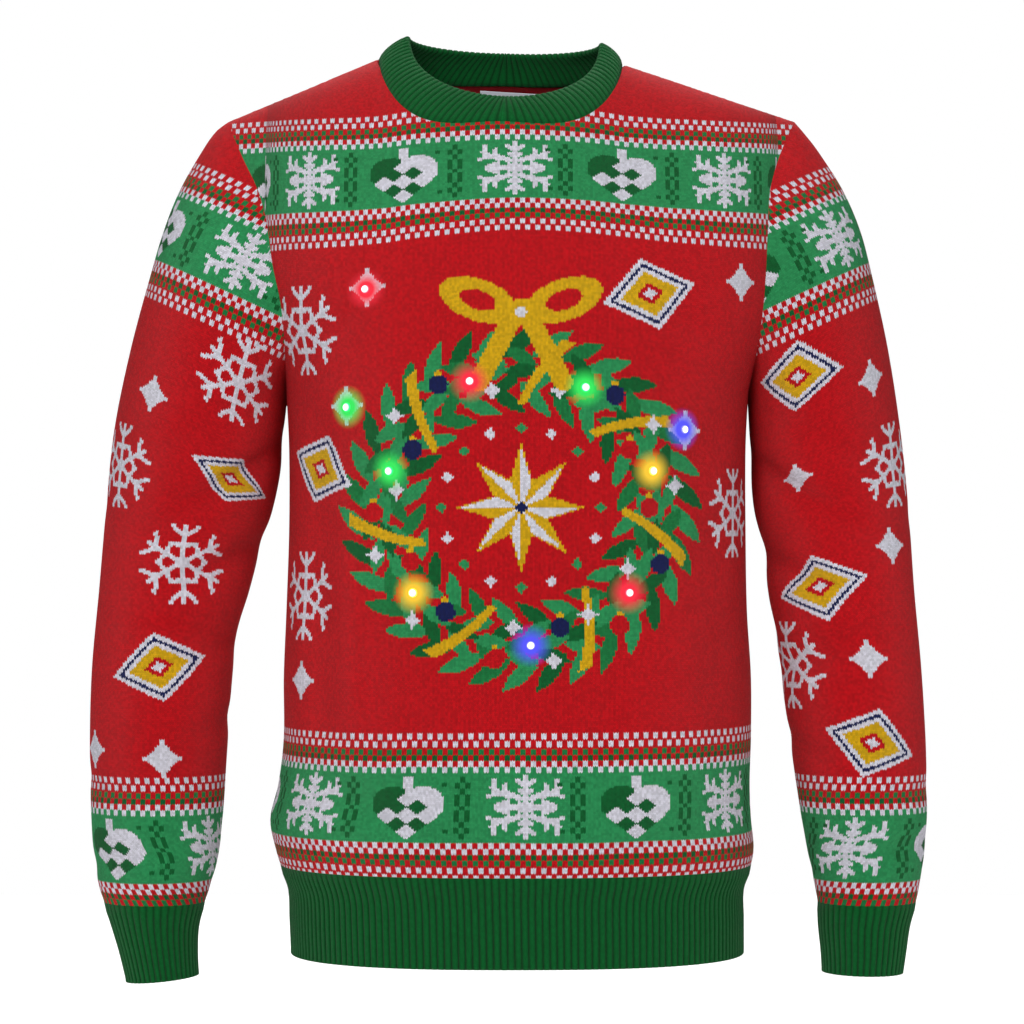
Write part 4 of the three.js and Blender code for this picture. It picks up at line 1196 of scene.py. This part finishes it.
# %% The colour of a stitch
def yarn_index(tree, stitch):
    """The number of the yarn, unpacked from the face's own stitches."""
    packed = tree.nodes.new("ShaderNodeAttribute")
    packed.attribute_name = "yarns"
    column = math_node(tree, "FLOORED_MODULO", stitch["stitch"], float(CELL_STITCHES))
    cell = math_node(tree, "FLOOR", math_node(tree, "DIVIDE", stitch["v"], float(CELL_ROWS)))
    first = math_node(tree, "MULTIPLY", cell, float(CELL_ROWS))
    row = math_node(tree, "SUBTRACT", stitch["row"], math_node(tree, "SUBTRACT", first, 1.0))
    divide = math_node(tree, "MULTIPLY_ADD", column, float(YARN_COUNT - 1), 1.0)
    for step in range(CELL_ROWS):
        above = math_node(tree, "GREATER_THAN", row, step + 0.5)
        factor = math_node(tree, "MULTIPLY_ADD", above, float(YARN_COUNT ** 2 - 1), 1.0)
        divide = math_node(tree, "MULTIPLY", divide, factor)
    shifted = math_node(tree, "FLOOR",
                        math_node(tree, "DIVIDE", packed.outputs["Fac"], divide))
    return math_node(tree, "FLOORED_MODULO", shifted, float(YARN_COUNT))


def yarn_colour(tree, stitch):
    ramp = tree.nodes.new("ShaderNodeValToRGB")
    ramp.color_ramp.interpolation = "CONSTANT"
    elements = ramp.color_ramp.elements
    while len(elements) < YARN_COUNT:
        elements.new(0.5)
    for number in range(YARN_COUNT):
        elements[number].position = number / YARN_COUNT
        elements[number].color = YARN_COLOURS[number]
    place = math_node(tree, "MULTIPLY_ADD", yarn_index(tree, stitch), 1 / YARN_COUNT,
                      0.5 / YARN_COUNT)
    tree.links.new(place, ramp.inputs[0])
    return ramp.outputs[0]


# %% Unevenness and relief
NOISE_DETAIL = 3
NOISE_LOW, NOISE_HIGH = 0.3, 0.7


def speckle(tree, stitch, low, high):
    """A little difference in lightness from stitch to stitch."""
    where = tree.nodes.new("ShaderNodeCombineXYZ")
    tree.links.new(stitch["stitch"], where.inputs[0])
    tree.links.new(stitch["row"], where.inputs[1])
    noise = tree.nodes.new("ShaderNodeTexWhiteNoise")
    noise.noise_dimensions = "2D"
    tree.links.new(where.outputs[0], noise.inputs["Vector"])
    return map_range(tree, noise.outputs["Value"], 0.0, 1.0, low, high)


def soft_noise(tree, scale, low, high):
    """Slow changes over the cloth, by its place on the jumper."""
    place = tree.nodes.new("ShaderNodeTexCoord")
    noise = tree.nodes.new("ShaderNodeTexNoise")
    noise.inputs["Scale"].default_value = scale
    noise.inputs["Detail"].default_value = NOISE_DETAIL
    tree.links.new(place.outputs["Object"], noise.inputs["Vector"])
    return map_range(tree, noise.outputs["Fac"], NOISE_LOW, NOISE_HIGH, low, high)


def add_bump(tree, shader, height, distance, strength):
    bump = tree.nodes.new("ShaderNodeBump")
    bump.inputs["Distance"].default_value = distance
    bump.inputs["Strength"].default_value = strength
    tree.links.new(height, bump.inputs["Height"])
    tree.links.new(bump.outputs["Normal"], shader.inputs["Normal"])


# %% [markdown]
# The lights shine through the cloth round them. Rather than a lamp for each, whose light would
# spread over the whole front, the cloth itself glows near each lens. By the distance from the
# nearest lens, the yarn's own colour gives way to the light's, so green light on red cloth stays
# green.

# %% Lights' places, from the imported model
GLOW = {
    "red": (1.0, 0.03, 0.06), "green": (0.04, 0.85, 0.12), "blue": (0.1, 0.1, 1.0),
    "yellow": (1.0, 0.62, 0.04),
}
GLOW_FULL = 0.0058
GLOW_END = 0.0165
GLOW_CURVE = 1.5
light_nodes = sorted(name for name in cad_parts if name.startswith("light_"))
light_places = {}
for node in light_nodes:
    low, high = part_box(node)
    light_places[node] = tuple((low[k] + high[k]) / 2 for k in range(3))
print(len(light_nodes), "lights")


def glow(tree, shader, base):
    """Lights the cloth round each lens, and returns the base colour with that part taken out."""
    place = tree.nodes.new("ShaderNodeTexCoord").outputs["Object"]
    total, cover = (0.0, 0.0, 0.0), 0.0
    for name, rgb in GLOW.items():
        nearest = 1.0
        for node in light_nodes:
            if node.endswith(name):
                distance = vector_math(tree, "DISTANCE", place, light_places[node])
                nearest = math_node(tree, "MINIMUM", nearest, distance)
        share = map_range(tree, nearest, GLOW_FULL, GLOW_END, 1.0, 0.0)
        share = math_node(tree, "POWER", share, GLOW_CURVE)
        total = vector_math(tree, "ADD", total, scaled(tree, rgb, share))
        cover = math_node(tree, "MAXIMUM", cover, share)
    tree.links.new(total, shader.inputs["Emission Color"])
    shader.inputs["Emission Strength"].default_value = 1.0
    return scaled(tree, base, math_node(tree, "SUBTRACT", 1.0, cover))


# %% The knitted materials
KNIT_LOOK = {"roughness": 0.9, "sheen": 0.05, "specular": 0.12}
# Painted shade on each stitch: darker in the grooves between its legs, lighter on their tops.
KNIT_PAINTED_GROOVE_SHADE = (0.4, 1.16)
KNIT_SPECKLE = (0.8, 1.12)
KNIT_CLOUDS = (9.0, 0.95, 1.04)
KNIT_FUZZ = (2600.0, 0.0, 0.4)
KNIT_RELIEF = (0.0009, 0.9)
REVERSE_WINE = 0.5
REVERSE_DIM = 0.7


def knit_material(name, lit=False, reverse=False):
    material, tree, shader = new_material(name, **KNIT_LOOK)
    stitch = stitch_nodes(tree)
    # Painted shade in the stitch grooves, multiplied by the yarn's real uneven tone from the
    # speckle and slow clouds.
    shade = map_range(tree, stitch["height"], 0.0, 1.0, *KNIT_PAINTED_GROOVE_SHADE)
    shade = math_node(tree, "MULTIPLY", shade, speckle(tree, stitch, *KNIT_SPECKLE))
    shade = math_node(tree, "MULTIPLY", shade, soft_noise(tree, *KNIT_CLOUDS))
    base = yarn_colour(tree, stitch)
    if reverse:
        base = mix_colours(tree, REVERSE_WINE, base, YARN_COLOURS[WINE])
    dim = REVERSE_DIM if reverse else 1.0
    whole = scaled(tree, base, math_node(tree, "MULTIPLY", shade, dim))
    if lit:
        whole = glow(tree, shader, whole)
    tree.links.new(whole, shader.inputs["Base Color"])
    fuzz = soft_noise(tree, *KNIT_FUZZ)
    add_bump(tree, shader, math_node(tree, "ADD", stitch["height"], fuzz), *KNIT_RELIEF)
    return material


# %% The rib's material, with painted shade in the grooves between its ribs
STITCHES_PER_RIB = 3
RIB_GREEN = colour(2, 88, 36)
RIB_PAINTED_GROOVE_SHADE = (0.35, 1.05)
RIB_ROUNDNESS = 0.7
RIB_PAINTED_STITCH_SHADE = (0.72, 1.08)
RIB_SPECKLE = (0.88, 1.1)
RIB_RELIEF = (0.0006, 0.7)
ABOVE_NOTHING = 0.0001


def rib_material():
    material, tree, shader = new_material("rib_knit", **KNIT_LOOK)
    stitch = stitch_nodes(tree)
    ridge = wave(tree, math_node(tree, "DIVIDE", stitch["u"], float(STITCHES_PER_RIB)))
    ridge = math_node(tree, "MAXIMUM", ridge, ABOVE_NOTHING)
    ridge = math_node(tree, "POWER", ridge, RIB_ROUNDNESS)
    # Painted shade: darker in the grooves between the ribs and between the stitch legs; the
    # speckle is the yarn's real uneven tone.
    shade = map_range(tree, ridge, 0.0, 1.0, *RIB_PAINTED_GROOVE_SHADE)
    stitch_painted_shade = map_range(tree, stitch["height"], 0.0, 1.0, *RIB_PAINTED_STITCH_SHADE)
    shade = math_node(tree, "MULTIPLY", shade, stitch_painted_shade)
    shade = math_node(tree, "MULTIPLY", shade, speckle(tree, stitch, *RIB_SPECKLE))
    tree.links.new(scaled(tree, RIB_GREEN[:3], shade), shader.inputs["Base Color"])
    add_bump(tree, shader, stitch["height"], *RIB_RELIEF)
    return material


knit = knit_material("body_knit")
knit_lit = knit_material("front_knit", lit=True)
knit_inside = knit_material("knit_inside", reverse=True)
rib_knit = rib_material()
print("Materials", [material.name for material in (knit, knit_lit, knit_inside, rib_knit)])

# %% [markdown]
# Front, back and sleeves. Each is its grid made into a mesh, with a wall of 2.1 mm from a
# Solidify modifier, whose inside gets the reverse of the knit.

# %% Panels and sleeves
def cloth_piece(name, grid, u, v, chart, outside, flip):
    rows, columns, _ = grid.shape
    mesh = cloth_mesh(name, grid, u, v, packed_colours(chart, rows, columns), flip)
    mesh.materials.append(outside)
    mesh.materials.append(knit_inside)
    piece = with_wall(new_object("knit_" + name, mesh))
    print(name, len(piece.data.polygons), "faces")
    return piece


def flat_area(grid):
    """Area of the cloth in square metres."""
    across = grid[:-1, 1:] - grid[:-1, :-1]
    up = grid[1:, :-1] - grid[:-1, :-1]
    return float(np.linalg.norm(np.cross(across, up), axis=-1).sum()) * MM * MM


pieces = {}
for face, outside in (("front", knit_lit), ("back", knit)):
    grid, u, v = panel_grids[face]
    pieces[face] = cloth_piece(face, grid, u, v, charts[face], outside, flip=face == "back")
for side in ("left", "right"):
    grid, u, v = sleeve_grids[side]
    name = "sleeve_" + side
    pieces[name] = cloth_piece(name, grid, u, v, charts[name], knit, flip=side == "right")

# %% [markdown]
# Ribs. The neckband, cuffs and hem are knitted two by one: two columns stand up, one lies back.
# A smooth band is made first, with how far round each point is. A Geometry Nodes tree then
# raises one ridge for each rib along the band's own normals, so one tree serves all four bands,
# and the count of ribs stays a number that can be changed.

# %% Helpers for Geometry Nodes
def new_tree(name, numbers):
    """A tree that takes geometry, some named numbers and a material, and gives geometry."""
    tree = bpy.data.node_groups.new(name, "GeometryNodeTree")
    inputs = [("Geometry", "NodeSocketGeometry")]
    inputs += [(number, "NodeSocketFloat") for number in numbers]
    inputs += [("Material", "NodeSocketMaterial")]
    for label, kind in inputs:
        tree.interface.new_socket(name=label, in_out="INPUT", socket_type=kind)
    tree.interface.new_socket(name="Geometry", in_out="OUTPUT", socket_type="NodeSocketGeometry")
    return tree, tree.nodes.new("NodeGroupInput").outputs


def run_tree(thing, tree, values):
    """Puts a tree on an object with the named values, and makes the result its plain mesh."""
    modifier = thing.modifiers.new(tree.name, "NODES")
    modifier.node_group = tree
    for item in tree.interface.items_tree:
        if item.name in values and item.in_out == "INPUT":
            modifier[item.identifier] = values[item.name]
    return plain_mesh(thing, sharp_angle=ALL_SMOOTH)


def attribute_node(tree, name, kind="FLOAT"):
    node = tree.nodes.new("GeometryNodeInputNamedAttribute")
    node.data_type = kind
    node.inputs["Name"].default_value = name
    return node.outputs["Attribute"]


def finish_tree(tree, geometry, material):
    """Every tree ends in real geometry with its material."""
    realize = tree.nodes.new("GeometryNodeRealizeInstances")
    set_material = tree.nodes.new("GeometryNodeSetMaterial")
    output = tree.nodes.new("NodeGroupOutput")
    tree.links.new(geometry, realize.inputs[0])
    tree.links.new(realize.outputs[0], set_material.inputs["Geometry"])
    tree.links.new(material, set_material.inputs["Material"])
    tree.links.new(set_material.outputs[0], output.inputs[0])


# %% The rib tree: a round ridge, dented along its top where its two columns meet
COLUMNS_PER_RIB = 8
RIDGE_ROUNDNESS = 0.7
DENT_NARROWNESS = 14.0
DENT_DEPTH = 0.22


def rib_tree():
    tree, given = new_tree("raise_ribs", ["Rib Count", "Rib Rise"])
    turns = math_node(tree, "MULTIPLY", attribute_node(tree, "round_share"), given["Rib Count"])
    within = math_node(tree, "FRACT", turns)
    arch = math_node(tree, "SINE", math_node(tree, "MULTIPLY", within, math.pi))
    arch = math_node(tree, "MAXIMUM", arch, 0.0)
    ridge = math_node(tree, "POWER", arch, RIDGE_ROUNDNESS)
    dent = math_node(tree, "POWER", arch, DENT_NARROWNESS)
    profile = math_node(tree, "ADD", ridge, math_node(tree, "MULTIPLY", dent, -DENT_DEPTH))
    rise = math_node(tree, "MULTIPLY", profile, given["Rib Rise"])
    rise = math_node(tree, "MULTIPLY", rise, attribute_node(tree, "rib_fade"))
    normal = tree.nodes.new("GeometryNodeInputNormal").outputs[0]
    move = tree.nodes.new("GeometryNodeSetPosition")
    tree.links.new(given["Geometry"], move.inputs["Geometry"])
    tree.links.new(scaled(tree, normal, rise), move.inputs["Offset"])
    finish_tree(tree, move.outputs[0], given["Material"])
    return tree


ribs_tree = rib_tree()


# %% A ribbed band from its rows of points
def ribbed_piece(name, grid, fade, rib_count, rib_rise, flip, wall):
    """A band of ribs. It gets a wall inwards, unless its grid is a closed section already."""
    rows, columns, _ = grid.shape
    share = np.repeat(np.linspace(0, 1, columns)[None, :], rows, axis=0)
    steps = np.linalg.norm(np.diff(grid, axis=0), axis=2).mean(axis=1)
    run = np.concatenate([[0], np.cumsum(steps)])
    v = np.repeat(run[:, None] / ROW_HEIGHT, columns, axis=1)
    u = share * rib_count * STITCHES_PER_RIB
    points = {"round_share": share, "rib_fade": np.repeat(fade[:, None], columns, axis=1)}
    mesh = cloth_mesh(name, grid, u, v, flip=flip, points=points)
    mesh.materials.append(rib_knit)
    piece = new_object("rib_" + name, mesh)
    run_tree(piece, ribs_tree, {"Rib Count": float(rib_count), "Rib Rise": rib_rise * MM,
                                "Material": rib_knit})
    if wall:
        with_wall(piece, wall * MM, inside_material=0)
    print(name, rib_count, "ribs,", len(piece.data.polygons), "faces")
    return piece


# %% The hem's rib
HEM_RIBS = 188
HEM_RIB_RISE = 1.0
HEM_EDGE = HEM_BOTTOM - 3.5
HEM_ROWS = 18
BAND_WALL = 2.0
FADE_ROWS = 2


def body_loop(z, shares, samples=400):
    """Points round the body at one height, from the left side seam over the front."""
    turn = -np.cos(np.linspace(0, math.pi, samples))
    x = turn * half_width(turn, np.full(samples, float(z)))
    front = cloth_point(x, z, "front")
    back = cloth_point(x[::-1], z, "back")[1:]
    loop = np.vstack([front, back])
    run = np.concatenate([[0], np.cumsum(np.linalg.norm(np.diff(loop, axis=0), axis=1))])
    return np.stack([np.interp(shares * run[-1], run, loop[:, k]) for k in range(3)], axis=-1)


def fade_in(rows, from_top=True):
    fade = np.minimum(np.arange(rows) / FADE_ROWS, 1.0)
    return fade[::-1] if from_top else fade


shares = np.linspace(0, 1, HEM_RIBS * COLUMNS_PER_RIB + 1)
heights = np.linspace(HEM_EDGE, HEM_TOP, HEM_ROWS)
hem_grid = np.stack([body_loop(z, shares) for z in heights])
pieces["hem_rib"] = ribbed_piece("hem", hem_grid, fade_in(HEM_ROWS), HEM_RIBS, HEM_RIB_RISE,
                                 False, BAND_WALL)

# %% The cuffs' ribs
CUFF_RIBS = 42
CUFF_RIB_RISE = 0.9
CUFF_EDGE = {"left": -684, "right": -679.5}
CUFF_SLANT = {"left": 2.5, "right": 0.5}
CUFF_ROWS = 18
CUFF_SHAPE = {"z": [-685, -640, -627], "round": [1.06, 1.04, 1.02], "forward": [22, 21, 21]}


def cuff_grid(side):
    turn = np.linspace(0, 2 * math.pi, CUFF_RIBS * COLUMNS_PER_RIB + 1)
    rows = []
    for share in np.linspace(0, 1, CUFF_ROWS):
        edge = CUFF_EDGE[side] - CUFF_SLANT[side] * np.cos(turn)
        height = lerp(edge, CUFF_TOP, share)
        rounding = along(CUFF_SHAPE, "round", height)
        forward = along(CUFF_SHAPE, "forward", height)
        rows.append(ring_point(side, height, height, rounding, forward, turn))
    return np.stack(rows)


cuff_grids = {side: cuff_grid(side) for side in ("left", "right")}
for side, grid in cuff_grids.items():
    name = "cuff_" + side
    pieces[name] = ribbed_piece(name, grid, fade_in(CUFF_ROWS), CUFF_RIBS, CUFF_RIB_RISE,
                                side == "right", BAND_WALL)

# %% [markdown]
# The neckband is knitted double and folded over, so it has a soft round top and ribs on both
# sides. Its section is a closed loop: up the outside, over the top, and down the inside.

# %% The neckband's section
NECK_RIBS = 107
NECK_RIB_RISE = 1.0
NECK_BAND_WALL = 3.2
NECK_BULGE = 2.0
BULGE_CURVE = 0.8
RIB_FADE_IN = 5
OUTSIDE_ROWS = 8
TOP_ROWS = 5
NECK_SAMPLES = 721
BAND_TOP = {"centre": -4, "half": 74, "height": 15.5, "tilt": -0.034, "front": 70, "back": 54}
BAND_TOP_DROP = {"front": 50, "back": 4.5}
BAND_TOP_CURVE = 0.75
BAND_TOP_SOFTNESS = 0.2


def neck_seam(turn):
    swing = np.cos(turn)
    line = {}
    for face, power in NECK_POWER.items():
        x = NECK_CENTRE + np.sign(swing) * NECK_HALF * np.abs(swing) ** (2 / power)
        line[face] = cloth_point(x, neckline_height(x, face), face)
    return np.where((np.sin(turn) >= 0)[:, None], line["front"], line["back"])


def band_top(turn):
    swing = np.abs(np.sin(turn))
    softness = BAND_TOP_SOFTNESS
    soft = (np.hypot(swing, softness) - softness) / (math.hypot(1, softness) - softness)
    front = np.sin(turn) >= 0
    x = BAND_TOP["centre"] + BAND_TOP["half"] * np.cos(turn)
    y = np.where(front, -BAND_TOP["front"], BAND_TOP["back"]) * swing
    drop = np.where(front, BAND_TOP_DROP["front"], BAND_TOP_DROP["back"])
    z = BAND_TOP["height"] + BAND_TOP["tilt"] * x - drop * soft ** BAND_TOP_CURVE
    return np.stack([x, y, z], axis=-1)


def unit(vectors):
    return vectors / np.linalg.norm(vectors, axis=-1, keepdims=True)


# %% The neckband
def band_bulge(share):
    return NECK_BULGE * math.sin(math.pi * share) ** BULGE_CURVE


def neckband_grid():
    fine = np.linspace(0, 2 * math.pi, NECK_SAMPLES)
    middle = (neck_seam(fine) + band_top(fine)) / 2
    run = np.concatenate([[0], np.cumsum(np.linalg.norm(np.diff(middle, axis=0), axis=1))])
    turn = np.interp(np.linspace(0, run[-1], NECK_RIBS * COLUMNS_PER_RIB + 1), run, fine)
    seam, top = neck_seam(turn), band_top(turn)
    slope = unit(top - seam)
    around = np.stack([-np.sin(turn), -np.cos(turn), np.zeros_like(turn)], axis=-1)
    inward = unit(np.cross(around, slope))
    half = NECK_BAND_WALL / 2
    rows, fade = [], []
    shares = np.linspace(0, 1, OUTSIDE_ROWS)
    for share in shares:
        rows.append(lerp(seam, top, share) - inward * band_bulge(share))
        fade.append(min(share * RIB_FADE_IN, 1))
    for angle in np.linspace(0, math.pi, TOP_ROWS + 2)[1:-1]:
        rows.append(top + inward * half * (1 - math.cos(angle)) + slope * half * math.sin(angle))
        fade.append(1)
    for share in shares[::-1]:
        rows.append(lerp(seam, top, share) - inward * (band_bulge(share) - NECK_BAND_WALL))
        fade.append(min(share * RIB_FADE_IN, 1))
    rows.append(rows[0])
    fade.append(0)
    return np.stack(rows), np.array(fade, float)


neck_grid, neck_fade = neckband_grid()
pieces["neckband"] = ribbed_piece("neckband", neck_grid, neck_fade, NECK_RIBS, NECK_RIB_RISE,
                                  True, 0)

# %% [markdown]
# The neck label. It is a short piece of smooth tape sewn inside the back of the neck. Its place
# follows the back panel, moved inwards by the panel's wall and a small gap, and it is sewn in a
# little askew, as such labels are.

# %% Label
LABEL_HALF = 23
LABEL_TOP = -14
LABEL_BOTTOM = -48
LABEL_GAP = 1.8
LABEL_TILT = 0.06
LABEL_WALL = 0.9
LABEL_CELLS = (30, 22)
CLOTH_INSIDE = CLOTH_WALL / MM

label_tape, _, label_shader = new_material("label_tape", roughness=0.6)
label_shader.inputs["Base Color"].default_value = colour(232, 236, 246)


def label_grid():
    x, z = np.meshgrid(np.linspace(-LABEL_HALF, LABEL_HALF, LABEL_CELLS[0]),
                       np.linspace(LABEL_BOTTOM, LABEL_TOP, LABEL_CELLS[1]))
    points = cloth_point(x, z - LABEL_TILT * x, "back")
    along_x = np.gradient(points, axis=1)
    along_z = np.gradient(points, axis=0)
    inward = unit(np.cross(along_x, along_z))
    return points + inward * (CLOTH_INSIDE + LABEL_GAP)


grid = label_grid()
mesh = cloth_mesh("label", grid, grid[..., 0], grid[..., 2])
mesh.materials.append(label_tape)
pieces["neck_label"] = new_object("label_tape", mesh)
with_wall(pieces["neck_label"], LABEL_WALL * MM, inside_material=0)
print("Label area", round(flat_area(grid) * 1e4, 1), "square centimetres")

# %% [markdown]
# The lights. Each is a small clear lens over a lit diode: white at the core, coloured at the
# rim. A Geometry Nodes tree sets one lens on each given point, turned to the cloth.

# %% A lit lens
LENS_RADIUS = 3.2
LENS_HEIGHT = 2.6
LENS_RIM = {
    "red": colour(255, 40, 60), "green": colour(30, 235, 90), "blue": colour(70, 70, 255),
    "yellow": colour(255, 190, 60),
}
LENS_STRENGTH = 2.6
CORE_END = 0.42
RIM_START = 0.9
LENS_SEGMENTS = 32
LENS_RINGS = 20


def lens_material(name):
    material, tree, shader = new_material("light_" + name, roughness=0.2)
    layer = tree.nodes.new("ShaderNodeAttribute")
    layer.attribute_name = "from_middle"
    ramp = tree.nodes.new("ShaderNodeValToRGB")
    ramp.color_ramp.elements[0].position = CORE_END
    ramp.color_ramp.elements[0].color = (1, 1, 1, 1)
    ramp.color_ramp.elements[1].position = RIM_START
    ramp.color_ramp.elements[1].color = LENS_RIM[name]
    tree.links.new(layer.outputs["Fac"], ramp.inputs[0])
    shader.inputs["Base Color"].default_value = LENS_RIM[name]
    tree.links.new(ramp.outputs[0], shader.inputs["Emission Color"])
    shader.inputs["Emission Strength"].default_value = LENS_STRENGTH
    return material


# %% The lens tree
def lens_tree():
    tree, given = new_tree("set_lens", ["Radius", "Height"])
    ball = tree.nodes.new("GeometryNodeMeshUVSphere")
    ball.inputs["Segments"].default_value = LENS_SEGMENTS
    ball.inputs["Rings"].default_value = LENS_RINGS
    ball.inputs["Radius"].default_value = 1.0
    position = tree.nodes.new("GeometryNodeInputPosition")
    parts = tree.nodes.new("ShaderNodeSeparateXYZ")
    tree.links.new(position.outputs[0], parts.inputs[0])
    aside = math_node(tree, "ADD", math_node(tree, "POWER", parts.outputs[0], 2.0),
                      math_node(tree, "POWER", parts.outputs[1], 2.0))
    store = tree.nodes.new("GeometryNodeStoreNamedAttribute")
    store.data_type = "FLOAT"
    store.domain = "POINT"
    store.inputs["Name"].default_value = "from_middle"
    tree.links.new(ball.outputs["Mesh"], store.inputs["Geometry"])
    tree.links.new(math_node(tree, "SQRT", aside), store.inputs["Value"])
    size = tree.nodes.new("ShaderNodeCombineXYZ")
    for socket, number in zip(size.inputs, ("Radius", "Radius", "Height")):
        tree.links.new(given[number], socket)
    scale = tree.nodes.new("GeometryNodeTransform")
    tree.links.new(store.outputs["Geometry"], scale.inputs["Geometry"])
    tree.links.new(size.outputs[0], scale.inputs["Scale"])
    turn = tree.nodes.new("FunctionNodeAlignRotationToVector")
    turn.axis = "Z"
    tree.links.new(attribute_node(tree, "facing", "FLOAT_VECTOR"), turn.inputs["Vector"])
    on_points = tree.nodes.new("GeometryNodeInstanceOnPoints")
    tree.links.new(given["Geometry"], on_points.inputs["Points"])
    tree.links.new(scale.outputs[0], on_points.inputs["Instance"])
    tree.links.new(turn.outputs[0], on_points.inputs["Rotation"])
    finish_tree(tree, on_points.outputs[0], given["Material"])
    return tree


# %% Ten lights on the front
LIGHT_SINK = 0.4
lens_nodes = lens_tree()
lens_materials = {name: lens_material(name) for name in LENS_RIM}


def front_normal(x, z, step=2.0):
    across = cloth_point(x + step, z, "front") - cloth_point(x - step, z, "front")
    up = cloth_point(x, z + step, "front") - cloth_point(x, z - step, "front")
    return unit(np.cross(across, up))


for node, place in light_places.items():
    name = node.split("_")[-1]
    x, z = place[0] / MM, place[2] / MM
    normal = front_normal(x, z)
    seat = (cloth_point(x, z, "front") - normal * LIGHT_SINK) * MM
    mesh = bpy.data.meshes.new(node)
    mesh.from_pydata([tuple(seat)], [], [])
    facing = mesh.attributes.new("facing", "FLOAT_VECTOR", "POINT")
    facing.data[0].vector = tuple(normal)
    lens = new_object("lens_" + node.split("_", 1)[1], mesh)
    pieces[node] = run_tree(lens, lens_nodes, {"Radius": LENS_RADIUS * MM,
                                               "Height": LENS_HEIGHT * MM,
                                               "Material": lens_materials[name]})

# %% [markdown]
# Every piece takes the place of its node in the imported model, whose part is hidden, and hangs
# on the model's body. The grids of the cloth pieces are gathered by name.


for node, piece in pieces.items():
    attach(piece, BODY)
    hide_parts(node)

cloth_grids = {
    "front": panel_grids["front"][0], "back": panel_grids["back"][0],
    "sleeve_left": sleeve_grids["left"][0], "sleeve_right": sleeve_grids["right"][0],
    "hem_rib": hem_grid, "cuff_left": cuff_grids["left"], "cuff_right": cuff_grids["right"],
    "neckband": neck_grid[:OUTSIDE_ROWS + TOP_ROWS // 2], "neck_label": label_grid(),
}

# %% [markdown]
# The stage: a plain pale floor, three large soft lights on the jumper and one on the floor behind
# it. The picture is cut out on white, lit softly from the front, so the cloth darkens a little
# where it turns away to the sides. The world lights the cloth only faintly, but is seen as white.

# %% Floor, lights and world
FLOOR_HEIGHT = -0.8
FLOOR_HALF = 1.7
WORLD_LIGHT = 0.27
WORLD_SEEN = 1.0

floor_paint, _, floor_shader = new_material("floor_paint", roughness=0.9)
floor_shader.inputs["Base Color"].default_value = (0.95, 0.95, 0.95, 1)


def flat_floor():
    corners = [(-1, -1), (1, -1), (1, 1), (-1, 1)]
    mesh = bpy.data.meshes.new("floor")
    points = [(x * FLOOR_HALF, y * FLOOR_HALF, FLOOR_HEIGHT) for x, y in corners]
    mesh.from_pydata(points, [], [(0, 1, 2, 3)])
    mesh.materials.append(floor_paint)
    return new_object("floor", mesh)


def soft_light(name, place, aim, size, power):
    data = bpy.data.lights.new(name, "AREA")
    data.shape = "DISK"
    data.size = size
    data.energy = power
    light = bpy.data.objects.new(name, data)
    light.location = place
    light.rotation_euler = (Vector(aim) - Vector(place)).to_track_quat("-Z", "Y").to_euler()
    bpy.context.scene.collection.objects.link(light)
    return light


floor = flat_floor()
JUMPER_MIDDLE = (0, 0, -0.33)
lamps = [
    soft_light("key", (-0.9, -2.6, 0.9), JUMPER_MIDDLE, 1.2, 42),
    soft_light("fill", (1.2, -2.6, 0.1), JUMPER_MIDDLE, 1.6, 20),
    soft_light("top", (0, -0.3, 1.7), JUMPER_MIDDLE, 1.2, 14),
    soft_light("behind", (0, 1.3, 1.1), (0, 1.3, FLOOR_HEIGHT), 1.2, 42),
]
world = bpy.data.worlds.new("studio")
world.use_nodes = True
sky = world.node_tree
rays = sky.nodes.new("ShaderNodeLightPath")
both = sky.nodes.new("ShaderNodeMixShader")
sky.links.new(rays.outputs["Is Camera Ray"], both.inputs[0])
for number, strength in ((1, WORLD_LIGHT), (2, WORLD_SEEN)):
    background = sky.nodes.new("ShaderNodeBackground")
    background.inputs["Color"].default_value = (1, 1, 1, 1)
    background.inputs["Strength"].default_value = strength
    sky.links.new(background.outputs[0], both.inputs[number])
sky.links.new(both.outputs[0], sky.nodes["World Output"].inputs["Surface"])
bpy.context.scene.world = world
bpy.context.scene.view_settings.view_transform = "Standard"
